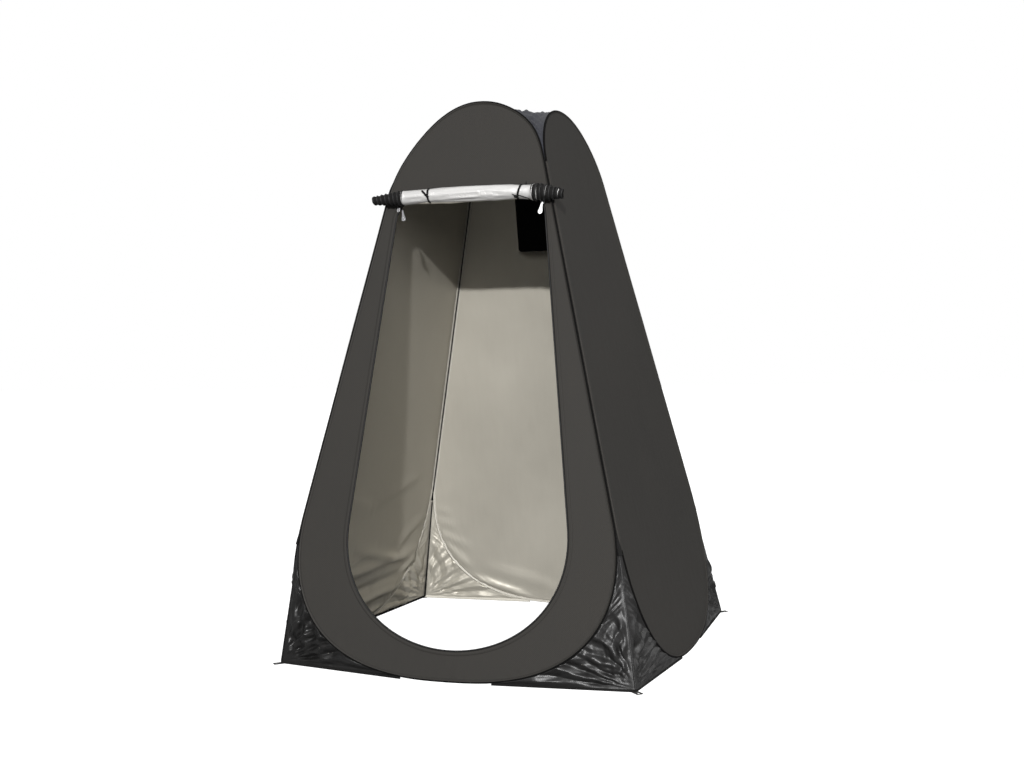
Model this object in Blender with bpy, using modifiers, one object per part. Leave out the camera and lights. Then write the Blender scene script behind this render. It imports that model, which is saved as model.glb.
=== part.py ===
# Pop-up shower tent, door towards -Y, standing on the ground at z = 0. Four closed spring-steel loops lean in
# towards each other, and each is filled by a flat fabric wall. Gussets close the ground corners, a cloth roof
# closes the arches, and the door flap is rolled up and tied over the doorway. Lengths are in metres.
import math

import bmesh
import bpy
from mathutils import Matrix, Vector

# Walls: facing walls lean in by one taper, which also narrows the two walls beside them, so neighbouring walls
# meet along straight corners. The front and back walls lean less than the right and left ones
BASE_HALF = 0.659
TAPERS = (0.180, 0.232)

# Loops of spring steel in their binding sleeves
SLEEVE_RADIUS = 0.004
SLEEVE_INSET = 0.0058
LOOP_LOW = SLEEVE_RADIUS
LOOP_FOOT = 0.518
LOOP_HIGH = 1.888
FOOT_FULLNESS = 0.79
HEAD_FULLNESS = 0.94
FOOT_STEPS = 12
SIDE_STEPS = 4
HEAD_STEPS = 9

# Shoulders of the loops at each corner: the height where the arches start, and the turn from the crown
# where the roof's edge ends. The front left corner is slack
ARCH_STARTS = (1.67, 1.67, 1.67, 1.586)
ROOF_ENDS = tuple(math.radians(turn) for turn in (76.5, 76.5, 76.5, 77.5))

# How far each loop's right and left shoulder sinks in half way up, and how far its crown has moved to its right
SAGS = ((-0.098, 0.037), (0.0, 0.0), (0.0, 0.0), (0.30, 0.0))
CROWN_MOVES = (0.024, 0.0, 0.0, -0.045)
CROWN_POWER = 3.5

# Fabric and the gap between neighbouring pieces
FABRIC = 0.002
GAP = 0.0003

# Doorway, with the flap's tape left round it
DOOR_HALF = 0.4332
DOOR_TAPER = 0.112
DOOR_SHIFT = 0.0105
DOOR_LOW = 0.098
DOOR_FOOT = 0.49
DOOR_HEAD = 1.50
DOOR_HIGH = 1.593
DOOR_FULLNESS_HEAD = 0.55
ZIP_MARGIN = 0.001
ZIP_WIDTH = 0.010
ZIP_THICKNESS = 0.001
ZIP_TOP = 1.545

# Ground corners. Each tip has a distance along its wall and one out of it, with that wall turned to the front
CORNER_TIPS = ((0.612, 0.620), (0.645, 0.645), (0.628, 0.645), (0.565, 0.640))
CORNER_SEAM_RADIUS = 0.0025
CORNER_SEAM_END = 0.0032
GUSSET_TOP_ANGLE = math.radians(79.6)
GUSSET_LOW_ANGLE = math.radians(9.4)
GUSSET_FOOT_SHARE = 0.99
GUSSET_COLUMNS = 4
PEG_LOOP_LENGTH = 0.036
PEG_LOOP_WIDTH = 0.022
PEG_SLOT_LENGTH = 0.015
PEG_SLOT_WIDTH = 0.009
PEG_SLOT_MARGIN = 0.004
PEG_LOOP_TUCK = 0.010
STRAP_CORNER = 0.003

# Roof cloth between the four arches
ROOF_LAST_TURN = math.radians(75)
ROOF_RELAXATIONS = 60

# Rolled door flap, its ties and its zip sliders
ROLL_RADIUS = 0.027
ROLL_TIP_RADIUS = 0.0155
ROLL_HALF_LENGTH = 0.3405
ROLL_HALF_BARREL = 0.230
ROLL_HEIGHT = 1.570
ROLL_SIDES = 20
FLAP_TOP_HALF = 0.238
FLAP_TOP_SEAM = 0.008
FLAP_TOP_CORNER = 0.003
TIE_RADIUS = 0.0015
TIE_START = 0.004
TIE_PLACES = {"left": -0.128, "right": 0.199}
TIE_FIRST = math.radians(25)
TIE_STEP = math.radians(20)
TIE_STEPS = 10
TIE_TAIL = 0.007
SLIDER_SIZE = (0.010, 0.013, 0.005)
SLIDER_EDGE = 0.0012
SLIDER_HEIGHT = 1.533
PULL_SIZE = (0.012, 0.038, 0.0022)
PULL_EDGE = 0.0008
PULL_RISE = 0.004
PULL_IN = 0.003

# Window high in the back wall
WINDOW_HALF = 0.085
WINDOW_LOW = 1.438
WINDOW_HIGH = 1.66
WINDOW_CORNER = 0.012
WINDOW_NET = 0.001
COVER_MARGIN = 0.012
COVER_THICKNESS = 0.0015

SIDES = ("front", "right", "back", "left")
FRONT = SIDES.index("front")
BACK = SIDES.index("back")
CORNERS = ("front_right", "back_right", "back_left", "front_left")

# Colours, with roughness and metallic value
WALL_FINISH = ((0.052, 0.050, 0.043), 0.75, 0.0)
SLEEVE_FINISH = ((0.012, 0.012, 0.012), 0.6, 0.0)
NYLON_FINISH = ((0.020, 0.020, 0.022), 0.35, 0.0)
SILVER_FINISH = ((0.72, 0.72, 0.70), 0.4, 0.3)
TAPE_FINISH = ((0.010, 0.010, 0.010), 0.7, 0.0)
PULL_FINISH = ((0.80, 0.80, 0.80), 0.35, 0.0)
NET_FINISH = ((0.008, 0.008, 0.008), 0.8, 0.0)


def clear_scene():
    for old in list(bpy.data.objects):
        bpy.data.objects.remove(old, do_unlink=True)


def wall_reach(side, z):
    """Distance of a wall's plane from the tent's axis at height z."""
    return BASE_HALF - TAPERS[side % 2] * z


def wall_half(side, z):
    """Half width of a wall at height z: as far as the walls beside it reach."""
    return wall_reach(side + 1, z)


def sleeve_half(side, z):
    return wall_half(side, z) - SLEEVE_INSET


def lean(side):
    return math.atan(TAPERS[side % 2])


def up_wall(side, z):
    """Distance up the leaning wall for a height z."""
    return z / math.cos(lean(side))


def shoulder(side, hand):
    """Values of a loop's shoulder, on its right with hand above 0 and on its left otherwise."""
    corner = side if hand > 0 else side - 1
    sag = SAGS[side][0] if hand > 0 else SAGS[side][1]
    return ARCH_STARTS[corner], sag, ROOF_ENDS[corner]


def door_edge(z):
    """Half width of the doorway at height z, with its round top."""
    rise = max(0.0, z - DOOR_HEAD) / (DOOR_HIGH - DOOR_HEAD)
    return (DOOR_HALF - DOOR_TAPER * z) * math.cos(math.asin(rise)) ** DOOR_FULLNESS_HEAD


def finish(obj, look, parent):
    """Gives the object its own material and its parent."""
    colour, roughness, metallic = look
    material = bpy.data.materials.new(obj.name)
    material.use_nodes = True
    shader = material.node_tree.nodes["Principled BSDF"]
    shader.inputs["Base Color"].default_value = (*colour, 1.0)
    shader.inputs["Roughness"].default_value = roughness
    shader.inputs["Metallic"].default_value = metallic
    obj.data.materials.append(material)
    obj.parent = parent
    parts.objects.link(obj)
    return obj


def flat_piece(name, outlines, thickness, look, parent, lift=0.0):
    """A flat piece from outlines in its parent's XY plane. An outline inside another is a hole."""
    curve = bpy.data.curves.new(name, "CURVE")
    curve.dimensions = "2D"
    curve.fill_mode = "BOTH"
    curve.extrude = thickness / 2
    for outline in outlines:
        spline = curve.splines.new("POLY")
        spline.points.add(len(outline) - 1)
        for point, (x, y) in zip(spline.points, outline):
            point.co = (x, y, 0.0, 1.0)
        spline.use_cyclic_u = True
    obj = finish(bpy.data.objects.new(name, curve), look, parent)
    obj.location.z = lift
    return obj


def tube(name, points, radius, look, parent, closed=False):
    curve = bpy.data.curves.new(name, "CURVE")
    curve.dimensions = "3D"
    curve.bevel_depth = radius
    curve.bevel_resolution = 2
    curve.use_fill_caps = not closed
    spline = curve.splines.new("POLY")
    spline.points.add(len(points) - 1)
    for point, place in zip(spline.points, points):
        point.co = (*place, 1.0)
    spline.use_cyclic_u = closed
    return finish(bpy.data.objects.new(name, curve), look, parent)


def sheet(name, columns, rows, place, look, parent, relax=0):
    """A cloth from a grid. place(a, b) takes 0 to 1 each way; then the inside is relaxed between fixed edges."""
    made = bmesh.new()
    bmesh.ops.create_grid(made, x_segments=columns, y_segments=rows, size=0.5)
    for vertex in made.verts:
        vertex.co = place(vertex.co.x + 0.5, vertex.co.y + 0.5)
    inside = [vertex for vertex in made.verts if not vertex.is_boundary]
    for _ in range(relax):
        bmesh.ops.smooth_vert(
            made, verts=inside, factor=0.5, use_axis_x=True, use_axis_y=True, use_axis_z=True
        )
    mesh = bpy.data.meshes.new(name)
    made.to_mesh(mesh)
    made.free()
    mesh.shade_smooth()
    obj = finish(bpy.data.objects.new(name, mesh), look, parent)
    thicken = obj.modifiers.new("Fabric", "SOLIDIFY")
    thicken.thickness = FABRIC
    thicken.offset = 0.0
    thicken.use_even_offset = True
    return obj


def box(name, size, centre, look, parent, edge):
    made = bmesh.new()
    bmesh.ops.create_cube(made, size=1.0)
    bmesh.ops.scale(made, vec=size, verts=made.verts)
    mesh = bpy.data.meshes.new(name)
    made.to_mesh(mesh)
    made.free()
    obj = finish(bpy.data.objects.new(name, mesh), look, parent)
    obj.location = centre
    bevel = obj.modifiers.new("Edges", "BEVEL")
    bevel.width = edge
    bevel.segments = 2
    return obj


def half_outline(side, low, foot, head, high, half_at, foot_fullness, head_fullness, sag=0.0,
                 move=0.0):
    """Right half of an outline in a wall: a round bottom, a straight tapering side and a round top."""
    right = []
    for step in range(FOOT_STEPS):
        angle = math.pi / 2 * step / FOOT_STEPS
        z = foot - (foot - low) * math.cos(angle)
        right.append((half_at(z) * math.sin(angle) ** foot_fullness, up_wall(side, z)))
    for step in range(SIDE_STEPS):
        z = foot + (head - foot) * step / SIDE_STEPS
        right.append((half_at(z), up_wall(side, z)))
    for step in range(HEAD_STEPS + 1):
        angle = math.pi / 2 * step / HEAD_STEPS
        z = head + (high - head) * math.sin(angle)
        share = abs(math.cos(angle)) ** head_fullness * (1 - sag * math.sin(2 * angle) ** 2)
        right.append((half_at(z) * share + move * math.sin(angle) ** CROWN_POWER, up_wall(side, z)))
    return right


def whole_outline(right, left, shift=0.0):
    """Closed outline from two right halves, the second one mirrored, and moved sideways by the shift."""
    mirrored = [(-u, v) for u, v in reversed(left[1:-1])]
    return [(u + shift, v) for u, v in right + mirrored]


def sleeve_outline(side):
    """Centre line of a loop's sleeve in its wall."""
    halves = []
    for hand in (1, -1):
        head, sag, _ = shoulder(side, hand)
        halves.append(
            half_outline(
                side, LOOP_LOW, LOOP_FOOT, head, LOOP_HIGH,
                lambda z: sleeve_half(side, z), FOOT_FULLNESS, HEAD_FULLNESS, sag, hand * CROWN_MOVES[side],
            )
        )
    return whole_outline(*halves)


def door_outline():
    half = half_outline(
        FRONT, DOOR_LOW, DOOR_FOOT, DOOR_HEAD, DOOR_HIGH,
        lambda z: DOOR_HALF - DOOR_TAPER * z, 1.0, DOOR_FULLNESS_HEAD,
    )
    return whole_outline(half, half, DOOR_SHIFT)


def offset_outline(outline, distance):
    """The closed outline moved outwards by a distance, or inwards by a negative one."""
    moved = []
    for index, here in enumerate(outline):
        before = Vector(outline[index - 1])
        after = Vector(outline[(index + 1) % len(outline)])
        along = (after - before).normalized()
        moved.append((here[0] + along.y * distance, here[1] - along.x * distance))
    return moved


def rounded_box(half, low, high, corner):
    """Outline of a rectangle with round corners, from low to high up the wall."""
    outline = []
    for turn, (x, y) in enumerate(((1, -1), (1, 1), (-1, 1), (-1, -1))):
        centre = Vector((x * (half - corner), high - corner if y > 0 else low + corner))
        for step in range(4):
            angle = math.radians(-90 + 90 * turn + 30 * step)
            outline.append(tuple(centre + Vector((math.cos(angle), math.sin(angle))) * corner))
    return outline


def wall_frame(side):
    """Empty in a wall's plane: X along the ground, Y up the wall and Z outwards."""
    turn = math.radians(90 * side)
    frame = bpy.data.objects.new(SIDES[side] + "_wall_frame", None)
    frame.rotation_euler = (math.radians(90) - lean(side), 0.0, turn)
    frame.location = Matrix.Rotation(turn, 3, "Z") @ Vector((0.0, -BASE_HALF, 0.0))
    parts.objects.link(frame)
    return frame


def to_wall(side, point):
    """A point beside a wall that is turned to the front, taken into that wall's plane."""
    moved = Vector(point) + Vector((0.0, BASE_HALF, 0.0))
    return Matrix.Rotation(lean(side) - math.radians(90), 3, "X") @ moved


def sleeve_foot(side, angle):
    """Centre of a sleeve's round bottom in its wall's plane, and its outward direction there."""
    def place(turn):
        z = LOOP_FOOT - (LOOP_FOOT - LOOP_LOW) * math.cos(turn)
        u = sleeve_half(side, z) * math.sin(turn) ** FOOT_FULLNESS
        return Vector((u, up_wall(side, z), 0.0))
    along = (place(angle + 0.001) - place(angle - 0.001)).normalized()
    return place(angle), Vector((along.y, -along.x, 0.0))


def corner_line(side, hand):
    """Ends of the seam down a ground corner of a wall that is turned to the front.

    It is the corner at the right with hand 1, or the left one, mirrored to the right, with hand -1.
    """
    along, outward = CORNER_TIPS[side] if hand > 0 else reversed(CORNER_TIPS[side - 1])
    z = LOOP_FOOT - (LOOP_FOOT - LOOP_LOW) * math.cos(GUSSET_TOP_ANGLE)
    share = math.sin(GUSSET_TOP_ANGLE) ** FOOT_FULLNESS
    across = (sleeve_half(side, z) * share + wall_half(side, z)) / 2
    out = (sleeve_half(side + 1, z) * share + wall_half(side + 1, z)) / 2
    return Vector((across, -out, z)), Vector((along, -outward, CORNER_SEAM_END))


def own_turns(steps):
    """The angles of a sleeve's own points, from a quarter turn before the middle to a quarter turn after it."""
    return [math.pi / 2 * index / steps for index in range(-steps, steps + 1)]


def gusset_half(side, hand, turns):
    """Place of a gusset half in its wall's plane: a runs up the loop, b runs out to the corner seam."""
    top, foot = (to_wall(side, point) for point in corner_line(side, hand))
    foot = top.lerp(foot, GUSSET_FOOT_SHARE)
    down = (foot - top).normalized()

    def place(b, a):
        angle = turns[round(a * (len(turns) - 1))]
        centre, outward = sleeve_foot(side, angle)
        start = centre + outward * (SLEEVE_RADIUS + 3 * GAP)
        seam = foot.lerp(top, (angle - turns[0]) / (turns[-1] - turns[0]))
        across = start - seam
        across -= down * across.dot(down)
        edge = seam + across.normalized() * (CORNER_SEAM_RADIUS + 2 * GAP)
        point = start.lerp(edge, b)
        return Vector((point.x * hand, point.y, point.z))
    return place


def arch_point(side, turn):
    """Centre of a sleeve's round top, turned from the middle of the arch, and the way in to the roof."""
    head, sag, _ = shoulder(side, turn)
    z = head + (LOOP_HIGH - head) * math.cos(turn)
    share = abs(math.sin(turn)) ** HEAD_FULLNESS * (1 - sag * math.sin(2 * turn) ** 2)
    u = math.copysign(sleeve_half(side, z) * share, turn)
    u += CROWN_MOVES[side] * abs(math.cos(turn)) ** CROWN_POWER
    inward = Vector((math.sin(turn), 1.0, 0.0)).normalized()
    rotate = Matrix.Rotation(math.radians(90 * side), 3, "Z")
    return rotate @ Vector((u, -wall_reach(side, z), z)), rotate @ inward


def make_roof():
    """The roof cloth: its edges follow the arches, and its inside hangs relaxed between them."""
    inner = [turn for turn in own_turns(HEAD_STEPS) if abs(turn) < ROOF_LAST_TURN]
    edges = [[-shoulder(side, -1)[2]] + inner + [shoulder(side, 1)[2]] for side in range(len(SIDES))]
    cells = len(inner) + 1

    def place(a, b):
        column = round(a * cells)
        row = round(b * cells)
        on_edge = (row == 0, column == cells, row == cells, column == 0)
        along = (column, row, cells - column, cells - row)
        ends = [arch_point(side, edges[side][along[side]]) for side in range(len(SIDES)) if on_edge[side]]
        if len(ends) == 2:
            return (ends[0][0] + ends[1][0]) / 2
        if len(ends) == 1:
            return ends[0][0] + ends[0][1] * (SLEEVE_RADIUS + 3 * GAP)
        wide = 2 * wall_half(FRONT, LOOP_HIGH)
        deep = 2 * wall_reach(FRONT, LOOP_HIGH)
        return Vector(((a - 0.5) * wide, (b - 0.5) * deep, LOOP_HIGH))
    sheet("roof_cloth", cells, cells, place, NYLON_FINISH, None, ROOF_RELAXATIONS)


def make_walls(door):
    window = rounded_box(
        WINDOW_HALF, up_wall(BACK, WINDOW_LOW), up_wall(BACK, WINDOW_HIGH), WINDOW_CORNER
    )
    holes = {"front": [door], "back": [window]}
    inner = [turn for turn in own_turns(FOOT_STEPS) if GUSSET_LOW_ANGLE < turn < GUSSET_TOP_ANGLE]
    turns = [GUSSET_LOW_ANGLE] + inner + [GUSSET_TOP_ANGLE]
    rows = len(turns) - 1
    for side, name in enumerate(SIDES):
        sleeve = sleeve_outline(side)
        panel = offset_outline(sleeve, -SLEEVE_RADIUS - GAP)
        loop = [(u, v, 0.0) for u, v in sleeve]
        tube("hoop_" + name, loop, SLEEVE_RADIUS, SLEEVE_FINISH, walls[name], closed=True)
        outlines = [panel] + holes.get(name, [])
        flat_piece(name + "_panel", outlines, FABRIC, WALL_FINISH, walls[name])
        for hand, corner in ((1, CORNERS[side]), (-1, CORNERS[side - 1])):
            title = corner + "_gusset_" + name
            place = gusset_half(side, hand, turns)
            sheet(title, GUSSET_COLUMNS, rows, place, NYLON_FINISH, walls[name])


def make_corners():
    peg_middle = PEG_LOOP_LENGTH / 2 - PEG_LOOP_TUCK
    strap = rounded_box(PEG_LOOP_WIDTH / 2, -PEG_LOOP_LENGTH / 2, PEG_LOOP_LENGTH / 2, STRAP_CORNER)
    slot_low = PEG_LOOP_LENGTH / 2 - PEG_SLOT_MARGIN - PEG_SLOT_LENGTH
    slot = rounded_box(PEG_SLOT_WIDTH / 2, slot_low, slot_low + PEG_SLOT_LENGTH, STRAP_CORNER)
    for index, corner in enumerate(CORNERS):
        frame = bpy.data.objects.new(corner + "_corner_frame", None)
        frame.rotation_euler.z = math.radians(90 * index)
        parts.objects.link(frame)
        tube(corner + "_corner_seam", corner_line(index, 1), CORNER_SEAM_RADIUS, SLEEVE_FINISH, frame)
        peg = flat_piece(corner + "_peg_loop", [strap, slot], FABRIC, TAPE_FINISH, frame, FABRIC / 2)
        along, outward = CORNER_TIPS[index]
        peg.location.x = along + peg_middle * math.sqrt(0.5)
        peg.location.y = -outward - peg_middle * math.sqrt(0.5)
        peg.rotation_euler.z = math.radians(-135)


def make_zip(door, wall):
    """The tape down both sides of the doorway and under it, with a slider and a pull at each end."""
    taped = sum(1 for point in door if point[1] < up_wall(FRONT, ZIP_TOP)) // 2 + 1
    inner = offset_outline(door, ZIP_MARGIN)
    outer = offset_outline(door, ZIP_MARGIN + ZIP_WIDTH)
    inner = inner[1 - taped:] + inner[:taped]
    outer = outer[1 - taped:] + outer[:taped]
    lift = FABRIC / 2 + GAP + ZIP_THICKNESS / 2
    flat_piece("door_zip", [inner + outer[::-1]], ZIP_THICKNESS, TAPE_FINISH, wall, lift)
    face = FABRIC / 2 + GAP + ZIP_THICKNESS + GAP
    beside = door_edge(SLIDER_HEIGHT) + ZIP_MARGIN + ZIP_WIDTH / 2
    height = up_wall(FRONT, SLIDER_HEIGHT)
    for hand, name in ((-1, "left"), (1, "right")):
        centre = (DOOR_SHIFT + hand * beside, height, face + SLIDER_SIZE[2] / 2)
        box("zip_slider_" + name, SLIDER_SIZE, centre, PULL_FINISH, wall, SLIDER_EDGE)
        drop = height - PULL_SIZE[1] / 2 + PULL_RISE
        out = face + SLIDER_SIZE[2] + GAP + PULL_SIZE[2] / 2
        centre = (DOOR_SHIFT + hand * (beside - PULL_IN), drop, out)
        box("zip_pull_" + name, PULL_SIZE, centre, PULL_FINISH, wall, PULL_EDGE)


def make_roll(wall):
    """The rolled flap: a barrel with a cone of wound zip tape at each end, its flat top and two ties."""
    behind = FABRIC / 2 + GAP + FABRIC + GAP
    out = behind + ROLL_RADIUS
    up = up_wall(FRONT, ROLL_HEIGHT)
    profile = (
        (0.0, ROLL_HALF_LENGTH),
        (ROLL_TIP_RADIUS, ROLL_HALF_LENGTH),
        (ROLL_RADIUS, ROLL_HALF_BARREL),
        (ROLL_RADIUS, -ROLL_HALF_BARREL),
        (ROLL_TIP_RADIUS, -ROLL_HALF_LENGTH),
        (0.0, -ROLL_HALF_LENGTH),
    )
    made = bmesh.new()
    ring = [made.verts.new((radius, 0.0, z)) for radius, z in profile]
    for first, second in zip(ring, ring[1:]):
        made.edges.new((first, second))
    mesh = bpy.data.meshes.new("door_roll")
    made.to_mesh(mesh)
    made.free()
    roll = finish(bpy.data.objects.new("door_roll", mesh), SILVER_FINISH, wall)
    roll.location = (0.0, up, out)
    roll.rotation_euler.y = math.radians(90)
    turn = roll.modifiers.new("Turn", "SCREW")
    turn.steps = ROLL_SIDES
    turn.render_steps = ROLL_SIDES
    turn.use_merge_vertices = True
    turn.merge_threshold = 0.0001

    top = up_wall(FRONT, DOOR_HIGH) + FLAP_TOP_SEAM
    band = rounded_box(FLAP_TOP_HALF, up, top, FLAP_TOP_CORNER)
    flat_piece("door_flap_top", [band], FABRIC, SILVER_FINISH, wall, FABRIC / 2 + GAP + FABRIC / 2)

    reach = (ROLL_RADIUS + GAP + TIE_RADIUS) / math.cos(TIE_STEP / 2)
    centre = Vector((up, out))
    start = Vector((top + TIE_START, FABRIC / 2 + GAP + TIE_RADIUS))
    path = [start]
    for step in range(TIE_STEPS + 1):
        angle = TIE_FIRST + TIE_STEP * step
        path.append(centre + Vector((math.cos(angle), math.sin(angle))) * reach)
    inside = FABRIC / 2 - TIE_RADIUS
    path.append(Vector((up - TIE_TAIL, inside)))
    path.append(Vector((up, inside)))
    for name, place in TIE_PLACES.items():
        points = [(place, v, w) for v, w in path]
        tube("door_tie_" + name, points, TIE_RADIUS, TAPE_FINISH, wall)


def make_window(wall):
    low = up_wall(BACK, WINDOW_LOW)
    high = up_wall(BACK, WINDOW_HIGH)
    net = rounded_box(WINDOW_HALF - GAP, low + GAP, high - GAP, WINDOW_CORNER)
    flat_piece("rear_window_mesh", [net], WINDOW_NET, NET_FINISH, wall)
    cover = rounded_box(
        WINDOW_HALF + COVER_MARGIN, low - COVER_MARGIN, high + COVER_MARGIN, WINDOW_CORNER
    )
    lift = FABRIC / 2 + GAP + COVER_THICKNESS / 2
    flat_piece("rear_window_cover", [cover], COVER_THICKNESS, WALL_FINISH, wall, lift)


clear_scene()
parts = bpy.data.collections.new("Pop-up shower tent")
bpy.context.scene.collection.children.link(parts)
walls = {name: wall_frame(side) for side, name in enumerate(SIDES)}
doorway = door_outline()
make_walls(doorway)
make_corners()
make_roof()
make_zip(doorway, walls["front"])
make_roll(walls["front"])
make_window(walls["back"])
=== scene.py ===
import math

import bmesh
import bpy
import numpy as np
from mathutils import Matrix, Vector, noise


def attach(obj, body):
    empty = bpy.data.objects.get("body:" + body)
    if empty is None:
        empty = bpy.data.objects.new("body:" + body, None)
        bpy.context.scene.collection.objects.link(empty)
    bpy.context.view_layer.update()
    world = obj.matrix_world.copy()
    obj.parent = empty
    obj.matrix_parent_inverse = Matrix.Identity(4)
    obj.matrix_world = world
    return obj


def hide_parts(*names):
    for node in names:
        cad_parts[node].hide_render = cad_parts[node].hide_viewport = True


noise.seed_set(7)  # the noise is then the same in each run

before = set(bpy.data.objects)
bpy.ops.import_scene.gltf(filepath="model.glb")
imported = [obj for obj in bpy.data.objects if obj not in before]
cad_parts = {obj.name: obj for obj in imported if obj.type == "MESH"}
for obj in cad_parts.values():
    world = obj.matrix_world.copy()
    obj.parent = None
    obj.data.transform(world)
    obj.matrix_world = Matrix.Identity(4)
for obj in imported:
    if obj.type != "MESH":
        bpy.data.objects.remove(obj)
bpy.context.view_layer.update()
print("frame loaded")

tent = {
    "baseHalf": 0.659,  # half the base on the ground
    "tapers": (0.180, 0.232),  # lean of the front and back walls, and of the right and left ones
    "sleeveRadius": 0.004,
    "sleeveInset": 0.0058,
    "low": 0.004,
    "foot": 0.518,
    "high": 1.888,
    "footFullness": 0.79,
    "headFullness": 0.94,
    "archStarts": (1.67, 1.67, 1.67, 1.586),  # at each corner
    "roofEnds": (88.0, 88.0, 88.0, 88.5),  # last turn of the roof's edge from the crown, in degrees
    "sags": ((-0.098, 0.037), (0.0, 0.0), (0.0, 0.0), (0.30, 0.0)),  # of each loop's right and left shoulder
    "crownMoves": (0.024, 0.0, 0.0, -0.045),  # to each loop's right
    "crownPower": 3.5,
}
sides = ("front", "right", "back", "left")
corners = ("front_right", "back_right", "back_left", "front_left")
front, right, back, left = range(4)
quarter = math.pi / 2


def wallReach(side, z):
    return tent["baseHalf"] - tent["tapers"][side % 2] * z


def sleeveHalf(side, z):
    return wallReach(side + 1, z) - tent["sleeveInset"]


def leanOf(side):
    return math.atan(tent["tapers"][side % 2])


def upWall(side, z):
    return z / math.cos(leanOf(side))


def wallMatrix(side):
    # the wall's own frame: X along the ground, Y up the wall, Z outwards
    turn = Matrix.Rotation(quarter * side, 4, "Z")
    upright = Matrix.Rotation(quarter - leanOf(side), 4, "X")
    return turn @ Matrix.Translation((0.0, -tent["baseHalf"], 0.0)) @ upright


def shoulder(side, hand):
    # start of the arch, sag, and the turn where the roof's edge ends
    corner = side if hand > 0 else side - 1
    sag = tent["sags"][side][0 if hand > 0 else 1]
    return tent["archStarts"][corner], sag, math.radians(tent["roofEnds"][corner])


def outlinePoint(side, t, shape):
    # half of an outline in its wall: t 0 to 1 is the round bottom, 1 to 2 the straight side, 2 to 3 the top
    low, foot, head, high = shape["heights"]
    move = 0.0
    if t < 1:
        z = foot - (foot - low) * math.cos(quarter * t)
        share = math.sin(quarter * t) ** shape["footFullness"]
    elif t < 2:
        z = foot + (head - foot) * (t - 1)
        share = 1.0
    else:
        angle = min(quarter * (t - 2), quarter)
        z = head + (high - head) * math.sin(angle)
        share = abs(math.cos(angle)) ** shape["headFullness"]
        share *= 1 - shape["sag"] * math.sin(2 * angle) ** 2
        move = shape["move"] * math.sin(angle) ** tent["crownPower"]
    return shape["halfAt"](z) * share + move, upWall(side, z)


def loopAt(side, t):
    # point on a loop's centre line, up its right side for t above 0 and up its left side for t below 0
    hand = 1 if t >= 0 else -1
    head, sag, _ = shoulder(side, hand)
    shape = {
        "heights": (tent["low"], tent["foot"], head, tent["high"]),
        "halfAt": lambda z: sleeveHalf(side, z),
        "footFullness": tent["footFullness"],
        "headFullness": tent["headFullness"],
        "sag": sag,
        "move": hand * tent["crownMoves"][side],
    }
    u, v = outlinePoint(side, abs(t), shape)
    return Vector((u * hand, v, 0.0))


door = {
    "half": 0.4332,
    "taper": 0.112,
    "shift": 0.0105,
    "heights": (0.098, 0.49, 1.50, 1.593),
    "headFullness": 0.55,
}


def doorAt(t):
    shape = {
        "heights": door["heights"],
        "halfAt": lambda z: door["half"] - door["taper"] * z,
        "footFullness": 1.0,
        "headFullness": door["headFullness"],
        "sag": 0.0,
        "move": 0.0,
    }
    u, v = outlinePoint(front, abs(t), shape)
    return Vector((math.copysign(u, t) + door["shift"], v, 0.0))


def evenTurns(curve, count):
    # signed turns whose points lie evenly round a closed outline, from the bottom up the right side
    dense = np.linspace(0.0, 3.0, 900)
    turns = []
    for hand in (1, -1):
        places = np.array([curve(hand * t) for t in dense])
        runs = np.concatenate(([0.0], np.cumsum(np.linalg.norm(np.diff(places, axis=0), axis=1))))
        even = np.interp(np.linspace(0.0, runs[-1], count // 2 + 1), runs, dense)
        turns.append([hand * float(t) for t in even])
    return turns[0] + turns[1][::-1][1:]


def runsAlong(points):
    runs = [0.0]
    for first, second in zip(points, points[1:]):
        runs.append(runs[-1] + (second - first).length)
    return runs


def ease(x):
    x = min(max(x, 0.0), 1.0)
    return x * x * (3 - 2 * x)


def gridPiece(name, columns, rows, place, looks, nodes=(), uvAt=None, lookAt=None):
    # a mesh from a grid: place(a, b) gives its point, uvAt(a, b) its pattern place, lookAt(a, b) its look
    made = bmesh.new()
    bmesh.ops.create_grid(made, x_segments=columns, y_segments=rows, size=0.5)
    pattern = made.loops.layers.uv.new("cloth")
    shares = {}
    for vertex in made.verts:
        a = round((vertex.co.x + 0.5) * columns) / columns
        b = round((vertex.co.y + 0.5) * rows) / rows
        shares[vertex] = (a, b)
        vertex.co = place(a, b)
    for face in made.faces:
        middle = [sum(shares[v][i] for v in face.verts) / 4 for i in (0, 1)]
        if lookAt:
            face.material_index = lookAt(*middle)
        for corner in face.loops:
            a, b = shares[corner.vert]
            corner[pattern].uv = uvAt(a, b) if uvAt else (a, b)
    bmesh.ops.remove_doubles(made, verts=made.verts, dist=1e-5)
    return addPiece(name, made, looks, nodes)


def addObject(name, data):
    # puts new data in the scene as an object of its own
    thing = bpy.data.objects.new(name, data)
    bpy.context.scene.collection.objects.link(thing)
    return thing


def newMesh(name, made):
    mesh = bpy.data.meshes.new(name)
    made.to_mesh(mesh)
    made.free()
    return mesh


def openMesh(piece):
    made = bmesh.new()
    made.from_mesh(piece.data)
    return made


def closeMesh(piece, made):
    made.to_mesh(piece.data)
    made.free()


def addPiece(name, made, looks, nodes=()):
    mesh = newMesh(name, made)
    mesh.shade_smooth()
    piece = addObject(name, mesh)
    for look in looks if isinstance(looks, tuple) else (looks,):
        mesh.materials.append(look)
    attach(piece, "root")
    if nodes:
        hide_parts(*nodes)
    return piece


def faceOut(piece, outward):
    # turns the sheet so that most of its faces look the way that outward(point) points
    total = sum(f.area * f.normal.dot(outward(f.center)) for f in piece.data.polygons)
    if total < 0:
        piece.data.flip_normals()
    return piece


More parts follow.
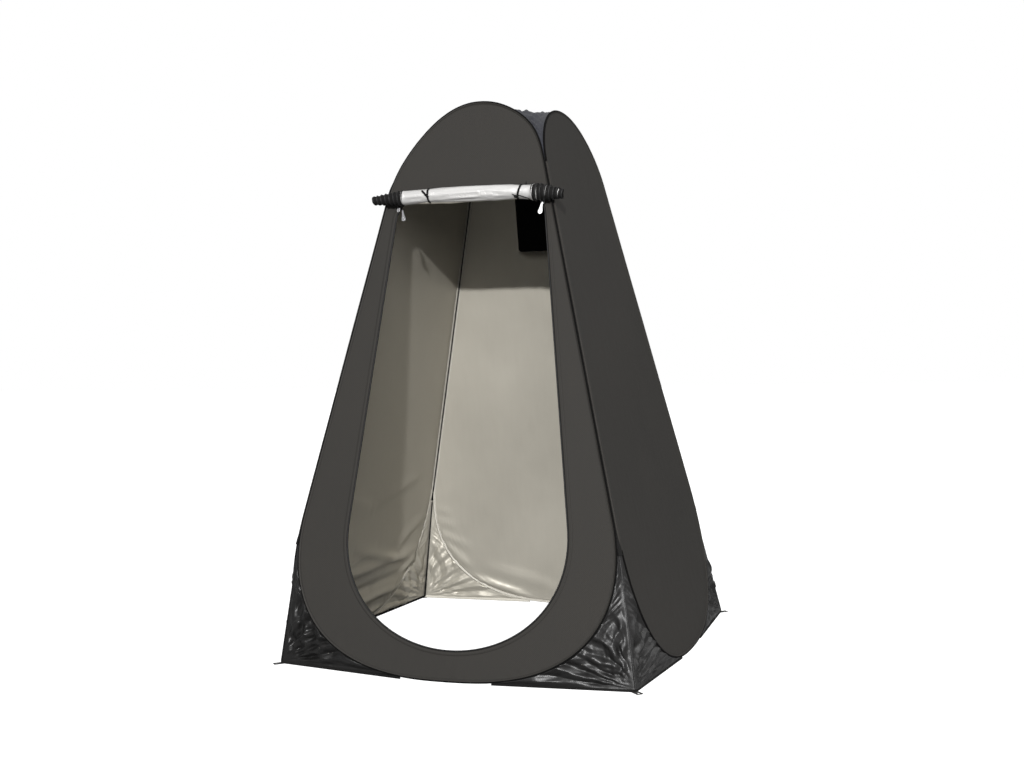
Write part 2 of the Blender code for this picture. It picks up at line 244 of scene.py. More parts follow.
def thicken(piece, thickness, lining=True):
    shell = piece.modifiers.new("Cloth thickness", "SOLIDIFY")
    shell.thickness = thickness
    shell.offset = 0.0
    if lining:
        shell.material_offset = 1
    return piece


# Materials
def put(tree, kind, values=None, **settings):
    made = tree.nodes.new(kind)
    for name, value in settings.items():
        setattr(made, name, value)
    for name, value in (values or {}).items():
        if isinstance(value, bpy.types.NodeSocket):
            tree.links.new(value, made.inputs[name])
        else:
            made.inputs[name].default_value = value
    return made


def calc(tree, operation, *values):
    return put(tree, "ShaderNodeMath", dict(enumerate(values)), operation=operation).outputs[0]


def noiseOn(tree, vector, scale, detail, distortion=0.0):
    values = {"Vector": vector, "Scale": scale, "Detail": detail, "Distortion": distortion}
    return put(tree, "ShaderNodeTexNoise", values).outputs["Fac"]


def blend(tree, share, first, second):
    # share, first and second colour
    values = {0: share, 6: first, 7: second}
    return put(tree, "ShaderNodeMix", values, data_type="RGBA").outputs[2]


def bumpOn(tree, height, strength, distance, under=None):
    values = {"Height": height, "Strength": strength, "Distance": distance}
    if under:
        values["Normal"] = under
    return put(tree, "ShaderNodeBump", values).outputs[0]


def newGroup(name, ins, out):
    # a node group with named inputs, its outputs as a dictionary, and a function that closes it
    tree = bpy.data.node_groups.new(name, "ShaderNodeTree")
    for title, value in ins.items():
        kind = "Vector" if value is None else "Float"
        socket = tree.interface.new_socket(title, in_out="INPUT", socket_type="NodeSocket" + kind)
        if value is not None:
            socket.default_value = value
    tree.interface.new_socket(out, in_out="OUTPUT", socket_type="NodeSocketFloat")
    given = put(tree, "NodeGroupInput").outputs

    def finish(value):
        tree.links.new(value, put(tree, "NodeGroupOutput").inputs[out])
        return tree

    return tree, given, finish


def makeWeaveGroup():
    # plain weave: two crossing sets of threads, across and up, and the uneven pull of the yarn
    tree, given, finish = newGroup("plainWeave", {"Vector": None, "Thread": 900.0}, "Height")
    parts = put(tree, "ShaderNodeSeparateXYZ", {0: given["Vector"]}).outputs
    across = calc(tree, "ADD", parts["X"], parts["Y"])
    first, second = (
        calc(tree, "SINE", calc(tree, "MULTIPLY", source, given["Thread"]))
        for source in (across, parts["Z"])
    )
    crossed = calc(tree, "MULTIPLY", first, second)
    slub = noiseOn(tree, given["Vector"], 240.0, 2.0)
    return finish(calc(tree, "MULTIPLY_ADD", slub, 0.9, crossed))


def makeDriftGroup():
    # slow change of tone over the cloth, with a faint up and down streak of the yarn
    tree, given, finish = newGroup("toneDrift", {"Vector": None, "Size": 2.2, "Streak": 0.35}, "Mask")
    large = noiseOn(tree, given["Vector"], given["Size"], 3.0)
    long = put(tree, "ShaderNodeMapping", {"Vector": given["Vector"], "Scale": (60.0, 60.0, 1.4)}).outputs[0]
    streaks = noiseOn(tree, long, 1.0, 2.0)
    mixed = put(tree, "ShaderNodeMix", {"Factor": given["Streak"], "A": large, "B": streaks})
    return finish(mixed.outputs["Result"])


def makeCrinkleGroup():
    # fine creases of a coated cloth: folded noise
    tree, given, finish = newGroup("fineCrinkle", {"Vector": None, "Size": 30.0, "Wander": 0.6}, "Height")
    bent = noiseOn(tree, given["Vector"], given["Size"], 4.0, given["Wander"])
    folded = calc(tree, "ABSOLUTE", calc(tree, "SUBTRACT", bent, 0.5))
    return finish(calc(tree, "POWER", folded, 0.6))


def makeStitchGroup():
    # one row of stitches at a distance from a piece's edge, from its pattern place (run, distance)
    ins = {"Vector": None, "Distance": 0.003, "Pitch": 0.0042, "Width": 0.0006}
    tree, given, finish = newGroup("stitchRow", ins, "Mask")
    parts = put(tree, "ShaderNodeSeparateXYZ", {0: given["Vector"]}).outputs
    off = calc(tree, "ABSOLUTE", calc(tree, "SUBTRACT", parts["Y"], given["Distance"]))
    near = calc(tree, "LESS_THAN", off, given["Width"])
    share = calc(tree, "FRACT", calc(tree, "DIVIDE", parts["X"], given["Pitch"]))
    dash = calc(tree, "LESS_THAN", share, 0.68)  # the thread shows on two thirds of each stitch
    return finish(calc(tree, "MULTIPLY", near, dash))


groups = {
    "weave": makeWeaveGroup(),
    "drift": makeDriftGroup(),
    "crinkle": makeCrinkleGroup(),
    "stitch": makeStitchGroup(),
}


def useGroup(tree, name, values):
    return put(tree, "ShaderNodeGroup", values, node_tree=groups[name]).outputs[0]


def clothLook(name, dark, light, roughness, weave=0.1, crinkle=0.0, crinkleSize=30.0, drift=2.2, streak=0.3,
              stitches=(), thread=(0.02, 0.02, 0.02), threadSize=900.0, **shaderValues):
    # dark and light are the tones that the cloth drifts between, roughness its lowest and highest
    look = bpy.data.materials.new(name)
    look.use_nodes = True
    tree = look.node_tree
    shader = tree.nodes["Principled BSDF"]
    for title, value in shaderValues.items():
        shader.inputs[title.replace("_", " ")].default_value = value
    where = put(tree, "ShaderNodeTexCoord")
    place, pattern = where.outputs["Object"], where.outputs["UV"]
    tone = useGroup(tree, "drift", {"Vector": place, "Size": drift, "Streak": streak})

    def spread(low, high, least, most):
        values = {"Value": tone, "From Min": low, "From Max": high, "To Min": least, "To Max": most}
        return put(tree, "ShaderNodeMapRange", values).outputs[0]

    colour = blend(tree, spread(0.32, 0.68, 0.0, 1.0), (*dark, 1.0), (*light, 1.0))
    height = useGroup(tree, "weave", {"Vector": place, "Thread": threadSize})
    bump = bumpOn(tree, height, weave, 0.0004)
    if crinkle:
        fine = useGroup(tree, "crinkle", {"Vector": place, "Size": crinkleSize})
        bump = bumpOn(tree, fine, crinkle, 0.004, bump)
    for distance, pitch in stitches:
        mask = useGroup(tree, "stitch", {"Vector": pattern, "Distance": distance, "Pitch": pitch})
        colour = blend(tree, mask, colour, (*thread, 1.0))
        bump = bumpOn(tree, mask, 0.5, 0.0005, bump)
    tree.links.new(colour, shader.inputs["Base Color"])
    tree.links.new(spread(0.3, 0.7, *roughness), shader.inputs["Roughness"])
    tree.links.new(bump, shader.inputs["Normal"])
    return look


wallTones = ((0.0138, 0.0128, 0.0113), (0.0170, 0.0156, 0.0137), (0.62, 0.74))
wallLook = clothLook(
    "wallCloth", *wallTones, weave=0.25,
    stitches=((0.0075, 0.0042),), thread=(0.010, 0.010, 0.009), Specular_IOR_Level=0.15,
)
silverLook = clothLook(
    "silverCoating", (0.304, 0.287, 0.246), (0.348, 0.329, 0.284), (0.42, 0.52), weave=0.2, crinkle=0.08,
    crinkleSize=9.0, streak=0.15, stitches=((0.0075, 0.0042),), thread=(0.10, 0.09, 0.075),
    Specular_IOR_Level=0.5, Metallic=0.5,
)
nylonLook = clothLook(
    "glossyNylon", (0.0044, 0.0043, 0.0042), (0.0074, 0.0071, 0.0070), (0.33, 0.45), weave=0.1, crinkle=0.2,
    crinkleSize=26.0, Specular_IOR_Level=0.30,
)
roofLook = clothLook(
    "roofNylon", (0.010, 0.0105, 0.014), (0.019, 0.020, 0.026), (0.42, 0.55), weave=0.12, crinkle=0.45,
    crinkleSize=14.0, Specular_IOR_Level=0.25,
)
# the walls' silver coating again, painted lighter and less metallic for the rolled flap: painted light for the
# direct light on the roll
rollSilverPaintedLight = clothLook(
    "rolledSilverPaintedLight", (0.31, 0.305, 0.298), (0.385, 0.38, 0.372), (0.30, 0.44), weave=0.2, crinkle=0.55,
    crinkleSize=26.0, streak=0.1, Specular_IOR_Level=0.5, Metallic=0.25,
)
sleeveLook = clothLook(
    "sleeveBinding", (0.0012, 0.0012, 0.0012), (0.0026, 0.0025, 0.0024), (0.7, 0.82), weave=0.5,
    threadSize=2600.0, stitches=((0.0012, 0.0042),), thread=(0.005, 0.005, 0.0045), Specular_IOR_Level=0.05,
)
sleeveClothLook = clothLook("sleeveCloth", *wallTones, weave=0.25, Specular_IOR_Level=0.15)
sleeveSilverLook = clothLook(
    "sleeveLining", (0.38, 0.36, 0.315), (0.45, 0.43, 0.38), (0.45, 0.58), weave=0.3, streak=0.1,
    stitches=((0.0015, 0.0042),), thread=(0.16, 0.15, 0.13), Specular_IOR_Level=0.45, Metallic=0.1,
)
tapeLook = clothLook(
    "wovenTape", (0.004, 0.0039, 0.0038), (0.0075, 0.0072, 0.007), (0.66, 0.8), weave=0.8, threadSize=3600.0,
    stitches=((0.0025, 0.0035),), thread=(0.012, 0.012, 0.011), Specular_IOR_Level=0.1,
)
coilLook = clothLook(
    "zipCoil", (0.0035, 0.0035, 0.0035), (0.006, 0.006, 0.006), (0.5, 0.62), weave=0.1,
    Specular_IOR_Level=0.25,
)
webbingLook = clothLook(
    "webbing", (0.008, 0.008, 0.008), (0.014, 0.0135, 0.013), (0.65, 0.8), weave=1.0, threadSize=1900.0,
)
cordLook = clothLook(
    "braidedCord", (0.004, 0.004, 0.004), (0.008, 0.008, 0.008), (0.6, 0.75), weave=1.0, threadSize=3000.0,
    Specular_IOR_Level=0.1,
)
netLook = clothLook(
    "windowNet", (0.0015, 0.0015, 0.0015), (0.003, 0.003, 0.003), (0.75, 0.85), weave=1.0, threadSize=2400.0,
    Specular_IOR_Level=0.1,
)
metalLook = clothLook(
    "zipMetal", (0.20, 0.20, 0.205), (0.34, 0.34, 0.345), (0.25, 0.4), weave=0.0, Metallic=0.9,
)
# a darker grey copy of the white pull for the left pull: painted shade, for the same kind of pull seen in
# shadow
shadedPullLook = clothLook(
    "pullMetalPaintedShade", (0.16, 0.16, 0.165), (0.27, 0.27, 0.275), (0.28, 0.42), weave=0.0, Metallic=0.7,
)
pullLook = clothLook(
    "pullPlastic", (0.74, 0.74, 0.74), (0.82, 0.82, 0.82), (0.28, 0.36), weave=0.0, Specular_IOR_Level=0.5,
)
print("materials made")

# Camera, floor and light
camera = {
    "azimuth": 19.3234,
    "elevation": 1.4849,
    "roll": -1.098,
    "place": (1.5773, -4.46, 1.0498),
    "lens": 45.82,
}


def makeCamera():
    azimuth, elevation, roll = (math.radians(camera[k]) for k in ("azimuth", "elevation", "roll"))
    behind = Vector((
        math.sin(azimuth) * math.cos(elevation),
        -math.cos(azimuth) * math.cos(elevation),
        math.sin(elevation),
    ))
    across = (-behind).cross(Vector((0.0, 0.0, 1.0))).normalized()
    upwards = across.cross(-behind)
    xAxis = across * math.cos(roll) + upwards * math.sin(roll)
    yAxis = upwards * math.cos(roll) - across * math.sin(roll)
    lens = bpy.data.cameras.new("camera")
    lens.lens = camera["lens"]
    lens.sensor_width = 36.0
    lens.sensor_fit = "HORIZONTAL"
    lens.clip_end = 100.0
    eye = bpy.data.objects.new("camera", lens)
    turned = Matrix((xAxis, yAxis, behind)).transposed().to_4x4()
    eye.matrix_world = Matrix.Translation(camera["place"]) @ turned
    bpy.context.scene.collection.objects.link(eye)
    bpy.context.scene.camera = eye


stage = {
    "floorHalf": 30.0,
    "floorTone": 0.26,
    "floorGlow": 1.0,
    "skyLow": 0.07,
    "skyHigh": 1.05,
    "keyStrength": 5.3,
    "keyAzimuth": 14.5,
    "keyElevation": 16.2,
    "keySoftness": 1.1,
    "fills": (
        (84.0, (4.2, 0.6, 2.2), 3.0),  # power, place and size
        (152.0, (2.9, -4.3, 3.1), 3.0),
        (44.0, (-3.0, -4.4, 3.0), 1.6),
    ),
}


def aim(lamp, place, target):
    lamp.location = place
    lamp.rotation_euler = (Vector(target) - Vector(place)).to_track_quat("-Z", "Y").to_euler()


def makeStage():
    made = bmesh.new()
    bmesh.ops.create_grid(made, x_segments=1, y_segments=1, size=stage["floorHalf"])
    mesh = bpy.data.meshes.new("floor")
    made.to_mesh(mesh)
    made.free()
    floor = bpy.data.objects.new("floor", mesh)
    bpy.context.scene.collection.objects.link(floor)
    look = bpy.data.materials.new("floorPaper")
    look.use_nodes = True
    shader = look.node_tree.nodes["Principled BSDF"]
    tone = stage["floorTone"]
    shader.inputs["Base Color"].default_value = (tone, tone, tone, 1.0)
    shader.inputs["Roughness"].default_value = 0.9
    shader.inputs["Specular IOR Level"].default_value = 0.1
    shader.inputs["Emission Color"].default_value = (1.0, 1.0, 1.0, 1.0)
    rays = put(look.node_tree, "ShaderNodeLightPath")
    glow = put(
        look.node_tree, "ShaderNodeMath", {0: rays.outputs["Is Camera Ray"], 1: stage["floorGlow"]},
        operation="MULTIPLY",
    )
    look.node_tree.links.new(glow.outputs[0], shader.inputs["Emission Strength"])
    mesh.materials.append(look)
    sky = bpy.data.worlds.new("sky")
    sky.use_nodes = True
    tree = sky.node_tree
    where = put(tree, "ShaderNodeTexCoord")
    parts = put(tree, "ShaderNodeSeparateXYZ", {0: where.outputs["Generated"]})
    height = put(
        tree, "ShaderNodeMapRange",
        {"Value": parts.outputs["Z"], "To Min": stage["skyLow"], "To Max": stage["skyHigh"]},
    )
    rays = put(tree, "ShaderNodeLightPath")
    values = {"Factor": rays.outputs["Is Camera Ray"], "A": height.outputs[0], "B": 1.0}
    seen = put(tree, "ShaderNodeMix", values)
    background = tree.nodes["Background"]
    background.inputs["Color"].default_value = (1.0, 1.0, 1.0, 1.0)
    tree.links.new(seen.outputs["Result"], background.inputs["Strength"])
    bpy.context.scene.world = sky
    sun = bpy.data.lights.new("key", "SUN")
    sun.energy = stage["keyStrength"]
    sun.angle = math.radians(stage["keySoftness"])
    key = bpy.data.objects.new("key", sun)
    bpy.context.scene.collection.objects.link(key)
    azimuth, elevation = math.radians(stage["keyAzimuth"]), math.radians(stage["keyElevation"])
    away = Vector((
        math.sin(azimuth) * math.cos(elevation),
        -math.cos(azimuth) * math.cos(elevation),
        math.sin(elevation),
    ))
    aim(key, away * 6, (0.0, 0.0, 0.0))
    for power, place, size in stage["fills"]:
        panel = bpy.data.lights.new("fill", "AREA")
        panel.energy = power
        panel.size = size
        fill = bpy.data.objects.new("fill", panel)
        bpy.context.scene.collection.objects.link(fill)
        aim(fill, place, (0.0, 0.0, 0.9))
    bpy.context.scene.view_settings.view_transform = "Standard"


makeCamera()
makeStage()
print("camera and light set")

# Walls: flat cloth drawn tight in the loops, with the pull of the seams at the foot
walls = {
    "columns": 420,
    "rings": {"front": 24, "right": 24, "back": 50, "left": 50},
    "tuck": 0.0015,
    "spread": 1.45,
    "thickness": 0.0007,
    "bulge": 0.0022,
    "bulgeSize": 2.6,
    "calm": {"front": 0.35, "right": 0.35, "back": 1.0, "left": 1.0},
    "puckerPitch": 0.0165,
    "puckerHeight": 0.0027,
    "puckerReach": 0.022,
}
window = {"half": 0.085, "low": 1.438, "high": 1.66, "corner": 0.012}

# folds in a wall's own frame: start, end, bow, width and height; above 0 stands into the tent
wallFolds = {
    "back": (
        ((0.500, 0.112), (0.140, 0.016), -0.012, 0.015, 0.0150),
        ((0.455, 0.080), (0.160, 0.004), -0.008, 0.016, -0.0100),
        ((0.360, 0.150), (0.020, 0.060), -0.010, 0.030, 0.0050),
        ((0.540, 0.300), (0.395, 0.235), 0.006, 0.014, 0.0050),
        ((0.530, 0.262), (0.420, 0.175), 0.004, 0.012, 0.0056),
        ((0.505, 0.205), (0.395, 0.150), 0.004, 0.013, 0.0050),
        ((0.548, 0.350), (0.450, 0.322), 0.003, 0.010, 0.0040),
        ((0.549, 0.398), (0.470, 0.385), 0.002, 0.009, 0.0034),
    ),
    "left": (
        ((-0.600, 0.236), (-0.235, 0.048), 0.018, 0.020, 0.0095),
        ((-0.575, 0.380), (-0.120, 0.130), 0.040, 0.030, 0.0070),
        ((-0.560, 0.190), (0.100, 0.320), -0.010, 0.021, 0.0120),
        ((-0.590, 0.236), (0.160, 0.220), 0.004, 0.022, 0.0120),
        ((-0.580, 0.150), (0.160, 0.140), 0.004, 0.018, -0.0080),
        ((-0.580, 0.102), (0.160, 0.086), 0.003, 0.018, 0.0120),
        ((-0.500, 0.036), (0.160, 0.030), 0.002, 0.013, 0.0085),
        ((-0.420, 0.560), (0.020, 0.470), 0.010, 0.034, 0.0060),
    ),
}


def foldOut(spot, fold):
    start, end, bow, width, height = fold
    along = Vector(end) - Vector(start)
    offset = spot - Vector(start)
    share = offset.dot(along) / along.length_squared
    if not 0 < share < 1:
        return 0.0
    across = (along.x * offset.y - along.y * offset.x) / along.length
    across = (across - bow * 4 * share * (1 - share)) / width
    profile = math.exp(-across * across) if across > 0 else math.exp(-2.4 * across * across)
    return height * math.sin(math.pi * share) ** 0.7 * profile


def windowAt(spot):
    # point on the window's edge towards a spot on the wall
    low, high = upWall(back, window["low"]), upWall(back, window["high"])
    middle = Vector((0.0, (low + high) / 2, 0.0))
    way = spot - middle
    half = Vector((window["half"], (high - low) / 2))
    reach = 1 / max(abs(way.x) / half.x, abs(way.y) / half.y)
    edge = way * reach
    cornered = Vector((abs(edge.x) - half.x + window["corner"], abs(edge.y) - half.y + window["corner"]))
    if cornered.x > 0 and cornered.y > 0:
        edge *= 1 - 0.29 * min(cornered.x, cornered.y) / edge.length
    return middle + edge


def spineAt(side, t):
    head = tent["archStarts"][0]
    height = tent["foot"] + (head - tent["foot"]) * min(max(t - 1, 0.0), 1.0)
    return Vector((0.0, upWall(side, height), 0.0))


def makeWall(side):
    name = sides[side]
    turns = evenTurns(lambda t: loopAt(side, t), walls["columns"])
    outer = []
    for index, t in enumerate(turns):
        before = loopAt(side, turns[index - 1] if index else turns[-2])
        after = loopAt(side, turns[index + 1] if index + 1 < len(turns) else turns[1])
        along = (after - before).normalized()
        outer.append(loopAt(side, t) + Vector((-along.y, along.x, 0.0)) * walls["tuck"])
    if side == front:
        inner = [doorAt(t) for t in turns]
    elif side == back:
        inner = [windowAt(spot) for spot in outer]
    else:
        inner = [spineAt(side, (abs(t) + abs(u)) / 2) for t, u in zip(turns, turns[::-1])]
    runs = runsAlong(outer)
    calm = walls["calm"][name]
    spread = 1.0 if side == front else walls["spread"]
    folds = wallFolds.get(name, ())
    mirrored = [tuple((-x, y) for x, y in fold[:2]) + (-fold[2],) + fold[3:] for fold in folds]

    def place(a, b):
        index = round(a * walls["columns"]) % walls["columns"]
        spot = outer[index].lerp(inner[index], b ** spread)
        gap = (spot - outer[index]).length
        flat = Vector((spot.x, spot.y))
        wander = noise.noise(Vector((runs[index] * 9, gap * 30, side * 5.0)))
        out = walls["bulge"] * noise.noise(spot * walls["bulgeSize"] + Vector((0, 0, side * 3.7)))
        out *= ease(gap / 0.10)
        wave = math.sin(2 * math.pi * runs[index] / walls["puckerPitch"] + 5 * wander)
        foot = ease((0.62 - spot.y) / 0.2)
        reach = math.exp(-gap / walls["puckerReach"]) * ease(gap / 0.006)
        out += walls["puckerHeight"] * wave * reach * foot * (0.55 + wander)
        held = ease(gap / 0.02)  # the sleeve holds the wall's edge
        for fold in folds:
            out -= held * foldOut(flat, fold)
        for fold in mirrored:
            out -= 0.6 * held * foldOut(flat, fold)
        if side in (front, back):
            out *= ease((1 - b) * (inner[index] - outer[index]).length / 0.05)
        out *= calm
        return wallMatrix(side) @ Vector((spot.x, spot.y, out))

    def uvAt(a, b):
        index = round(a * walls["columns"])
        return runs[index], b ** spread * (inner[index] - outer[index]).length

    piece = gridPiece(
        name + "Panel", walls["columns"], walls["rings"][name], place, (wallLook, silverLook),
        (name + "_panel",), uvAt,
    )
    outward = wallMatrix(side).to_3x3() @ Vector((0.0, 0.0, 1.0))
    faceOut(piece, lambda point: outward)
    thicken(piece, walls["thickness"])
    return piece


wallPieces = {sides[side]: makeWall(side) for side in range(4)}
print("walls made")

# Loops: the spring steel in its binding sleeve, black outside and silver-covered inside
sleeve = {
    "columns": 420,
    "around": 14,
    "flange": 0.0026,
    "blackFrom": -0.55,
    "gather": 0.00035,
    "gatherPitch": 0.0125,
}


def makeLoop(side):
    turns = evenTurns(lambda t: loopAt(side, t), sleeve["columns"])
    points = [loopAt(side, t) for t in turns]
    runs = runsAlong(points)
    into = wallMatrix(side)

    def place(a, b):
        index = round(a * sleeve["columns"])
        after = points[index + 1] if index + 1 < len(points) else points[1]
        before = points[index - 1] if index else points[-2]
        along = (after - before).normalized()
        outward = Vector((along.y, -along.x, 0.0))
        angle = 2 * math.pi * (b + 0.5 / sleeve["around"])
        radius = tent["sleeveRadius"]
        gather = math.sin(2 * math.pi * runs[index] / sleeve["gatherPitch"] + 2 * math.sin(angle))
        lump = noise.noise(Vector((runs[index] * 40, side, b)))
        radius += sleeve["gather"] * gather * (0.4 + lump) - sleeve["gather"]
        lift = math.sin(angle) * radius
        across = math.cos(angle) * radius
        if math.cos(angle) < -0.55:
            across -= sleeve["flange"] * ease((-math.cos(angle) - 0.55) / 0.3)
            lift *= 0.55
        spot = points[index] + outward * across
        return into @ Vector((spot.x, spot.y, lift))

    def uvAt(a, b):
        turn = 2 * math.pi * (b + 0.5 / sleeve["around"])
        return runs[round(a * sleeve["columns"])], tent["sleeveRadius"] * (1 + math.cos(turn))

    def lookAt(a, b):
        # silver inside, black outside, and wall cloth where a side's sleeve lies behind the front's
        turn = 2 * math.pi * (b + 0.5 / sleeve["around"])
        if math.sin(turn) < -0.1 and math.cos(turn) < 0.5:
            return 1
        t = turns[round(a * sleeve["columns"])]
        besideFront = side == right and -2.0 < t < -0.9 or side == left and 0.9 < t < 2.0
        return 2 if besideFront or math.cos(turn) < sleeve["blackFrom"] else 0

    looks = (sleeveLook, sleeveSilverLook, sleeveClothLook)
    piece = gridPiece(
        sides[side] + "Hoop", sleeve["columns"], sleeve["around"], place, looks,
        ("hoop_" + sides[side],), uvAt, lookAt=lookAt,
    )
    made = openMesh(piece)
    bmesh.ops.recalc_face_normals(made, faces=made.faces)
    closeMesh(piece, made)


for side in range(4):
    makeLoop(side)
print("loops made")

# Ground corners: crumpled nylon between the loops' round bottoms and the seam down the corner
gusset = {
    "across": 76,
    "up": 106,
    "topTurn": math.radians(79.6),
    "lowTurn": math.radians(9.4),
    "footShare": 0.99,
    # how far each corner's tip lies along its wall and out of it
    "tips": ((0.612, 0.620), (0.645, 0.645), (0.628, 0.645), (0.565, 0.640)),
    "seamEnd": 0.0032,
    "seamRadius": 0.0025,
    "tuck": 0.0025,
    "thickness": 0.0006,
    "crispness": 0.985,
    "facetTurn": 2.7,  # facets a radian round the tip
    "facetReach": 1.5,
    "facetHeight": 0.021,
    "smallHeight": 0.0021,
    "tinyHeight": 0.0006,
    "rays": 5.2,  # folds a radian round the tip near the ground
    "rayHeight": 0.0065,
    "gathers": 34.0,
    "gatherHeight": 0.0075,
    "mostOut": 0.014,
    "calm": {"front_right": 1.0, "back_right": 0.9, "back_left": 0.6, "front_left": 1.35},
}


def zigzag(x):
    # a wave of straight slopes with slightly rounded creases
    return math.asin(gusset["crispness"] * math.sin(2 * math.pi * x)) / math.asin(gusset["crispness"])


def facets(spot):
    # flat-sided hollows with sharp creases between them, about -0.4 to 0.4
    distances, _ = noise.voronoi(spot)
    return distances[0] - 0.42


def creases(spot):
    # flat facets between straight creases that run three ways, -1 to 1
    moved = spot + noise.noise_vector(spot * 0.8) * 0.45
    first = zigzag(moved.x + 0.35 * moved.y)
    second = zigzag(1.17 * moved.y - 0.72 * moved.x + 0.3)
    third = zigzag(1.9 * moved.x + 1.4 * moved.y + 0.7)
    return (first + 0.85 * second + 0.45 * third) / 2.3


def footSpot(side, angle):
    # centre of a loop's round bottom in its wall's plane, and the way out of the loop there
    def spot(turn):
        z = tent["foot"] - (tent["foot"] - tent["low"]) * math.cos(turn)
        u = sleeveHalf(side, z) * math.sin(turn) ** tent["footFullness"]
        return Vector((u, upWall(side, z), 0.0))
    along = (spot(angle + 0.001) - spot(angle - 0.001)).normalized()
    return spot(angle), Vector((along.y, -along.x, 0.0))


def cornerEnds(side, hand=1):
    # the seam down a ground corner of a wall that faces the front: its right one, or its left one mirrored
    z = tent["foot"] - (tent["foot"] - tent["low"]) * math.cos(gusset["topTurn"])
    share = math.sin(gusset["topTurn"]) ** tent["footFullness"]
    across = (sleeveHalf(side, z) * share + wallReach(side + 1, z)) / 2
    out = (sleeveHalf(side + 1, z) * share + wallReach(side, z)) / 2
    tipAlong, tipOut = gusset["tips"][side] if hand > 0 else reversed(gusset["tips"][side - 1])
    return Vector((across, -out, z)), Vector((tipAlong, -tipOut, gusset["seamEnd"]))


def toWall(side, point):
    moved = Vector(point) + Vector((0.0, tent["baseHalf"], 0.0))
    return Matrix.Rotation(leanOf(side) - quarter, 3, "X") @ moved


def crumpleAt(point, tip, a, seed):
    # creases at a point of a gusset: rays near the ground, facets spread from the tip, gathers in the top
    reach = point - tip
    length = Vector((reach.x, reach.y)).length
    turn = math.atan2(reach.y, -reach.x)
    wander = noise.noise_vector(point * 8 + seed) * 0.35
    outwards = math.log(length / 0.05 + 0.3) * gusset["facetReach"]
    spread = Vector((turn * gusset["facetTurn"], outwards, seed.x))
    away = ease(length / 0.13)
    low = 1 - ease((turn - 0.32) / 0.45)
    narrow = ease((a - 0.45) / 0.25)
    calm = away * (1 - 0.5 * low) * (1 - 0.5 * narrow)
    height = gusset["facetHeight"] * (facets(spread + wander) + 0.75 * creases(spread)) * calm
    height += gusset["smallHeight"] * creases(spread * 2.4 + seed) * away * (1 - 0.3 * low)
    height += gusset["tinyHeight"] * facets(point * 34 + wander + seed)
    rays = zigzag(gusset["rays"] * turn + 0.35 * wander.x + seed.x * 0.13)
    height += gusset["rayHeight"] * rays * ease(length / 0.12) * low
    rows = Vector((point.x * 16, a * gusset["gathers"], seed.x))
    height += gusset["gatherHeight"] * facets(rows + wander * 1.5) * narrow
    return height


def makeGusset(side, hand, corner):
    top, foot = (toWall(side, point) for point in cornerEnds(side, hand))
    foot = top.lerp(foot, gusset["footShare"])
    down = (foot - top).normalized()
    into = wallMatrix(side)
    length = (foot - top).length
    seed = Vector((side * 5.3 + hand * 1.7, 3.0, 0.0))
    calm = gusset["calm"][corner]

    def spots(b, a):
        angle = gusset["lowTurn"] + (gusset["topTurn"] - gusset["lowTurn"]) * a
        centre, outward = footSpot(side, angle)
        start = centre + outward * (tent["sleeveRadius"] - gusset["tuck"])
        seam = foot.lerp(top, a)
        across = start - seam
        across -= down * across.dot(down)
        edge = seam + across.normalized() * (gusset["seamRadius"] - gusset["tuck"] * 0.6)
        return start, edge

    def place(b, a):
        a = a ** 1.25
        start, edge = spots(b, a)
        point = start.lerp(edge, b)
        width = (edge - start).length
        inside = ease(b * width / 0.022) * ease((1 - b) * width / 0.03) * ease((1 - a) / 0.03)
        inside *= 0.15 + 0.85 * ease(a * length / 0.03)
        out = crumpleAt(point, foot, a, seed) * inside * calm
        point.z += min(max(out, -gusset["mostOut"]), gusset["mostOut"])
        return into @ Vector((point.x * hand, point.y, point.z))

    def uvAt(b, a):
        start, edge = spots(b, a ** 1.25)
        return a * length, b * (edge - start).length

    depth, breadth = corner.split("_")
    piece = gridPiece(
        depth + breadth.capitalize() + "Gusset" + sides[side].capitalize(), gusset["across"], gusset["up"],
        place, (nylonLook, silverLook), (corner + "_gusset_" + sides[side],), uvAt,
    )
    outward = into.to_3x3() @ Vector((0.0, 0.0, 1.0))
    faceOut(piece, lambda point: outward)
    return thicken(piece, gusset["thickness"])


for side in range(4):
    for hand, corner in ((1, corners[side]), (-1, corners[side - 1])):
        makeGusset(side, hand, corner)
print("gussets made")

# Roof: glossy cloth between the four arches
roof = {
    "cells": 32,
    "relaxations": 80,
    "cuts": 1,
    "tuck": 0.0022,
    "thickness": 0.0006,
    "foldHeight": 0.0042,
    "folds": 3.4,  # folds a radian round a corner of the roof
    "foldReach": 0.16,
    "facetHeight": 0.0075,
}


def archSpot(side, turn):
    head, sag, _ = shoulder(side, turn)
    z = head + (tent["high"] - head) * math.cos(turn)
    share = abs(math.sin(turn)) ** tent["headFullness"] * (1 - sag * math.sin(2 * turn) ** 2)
    u = math.copysign(sleeveHalf(side, z) * share, turn)
    u += tent["crownMoves"][side] * abs(math.cos(turn)) ** tent["crownPower"]
    inward = Vector((math.sin(turn), 1.0, 0.0)).normalized()
    rotate = Matrix.Rotation(quarter * side, 3, "Z")
    return rotate @ Vector((u, -wallReach(side, z), z)), rotate @ inward


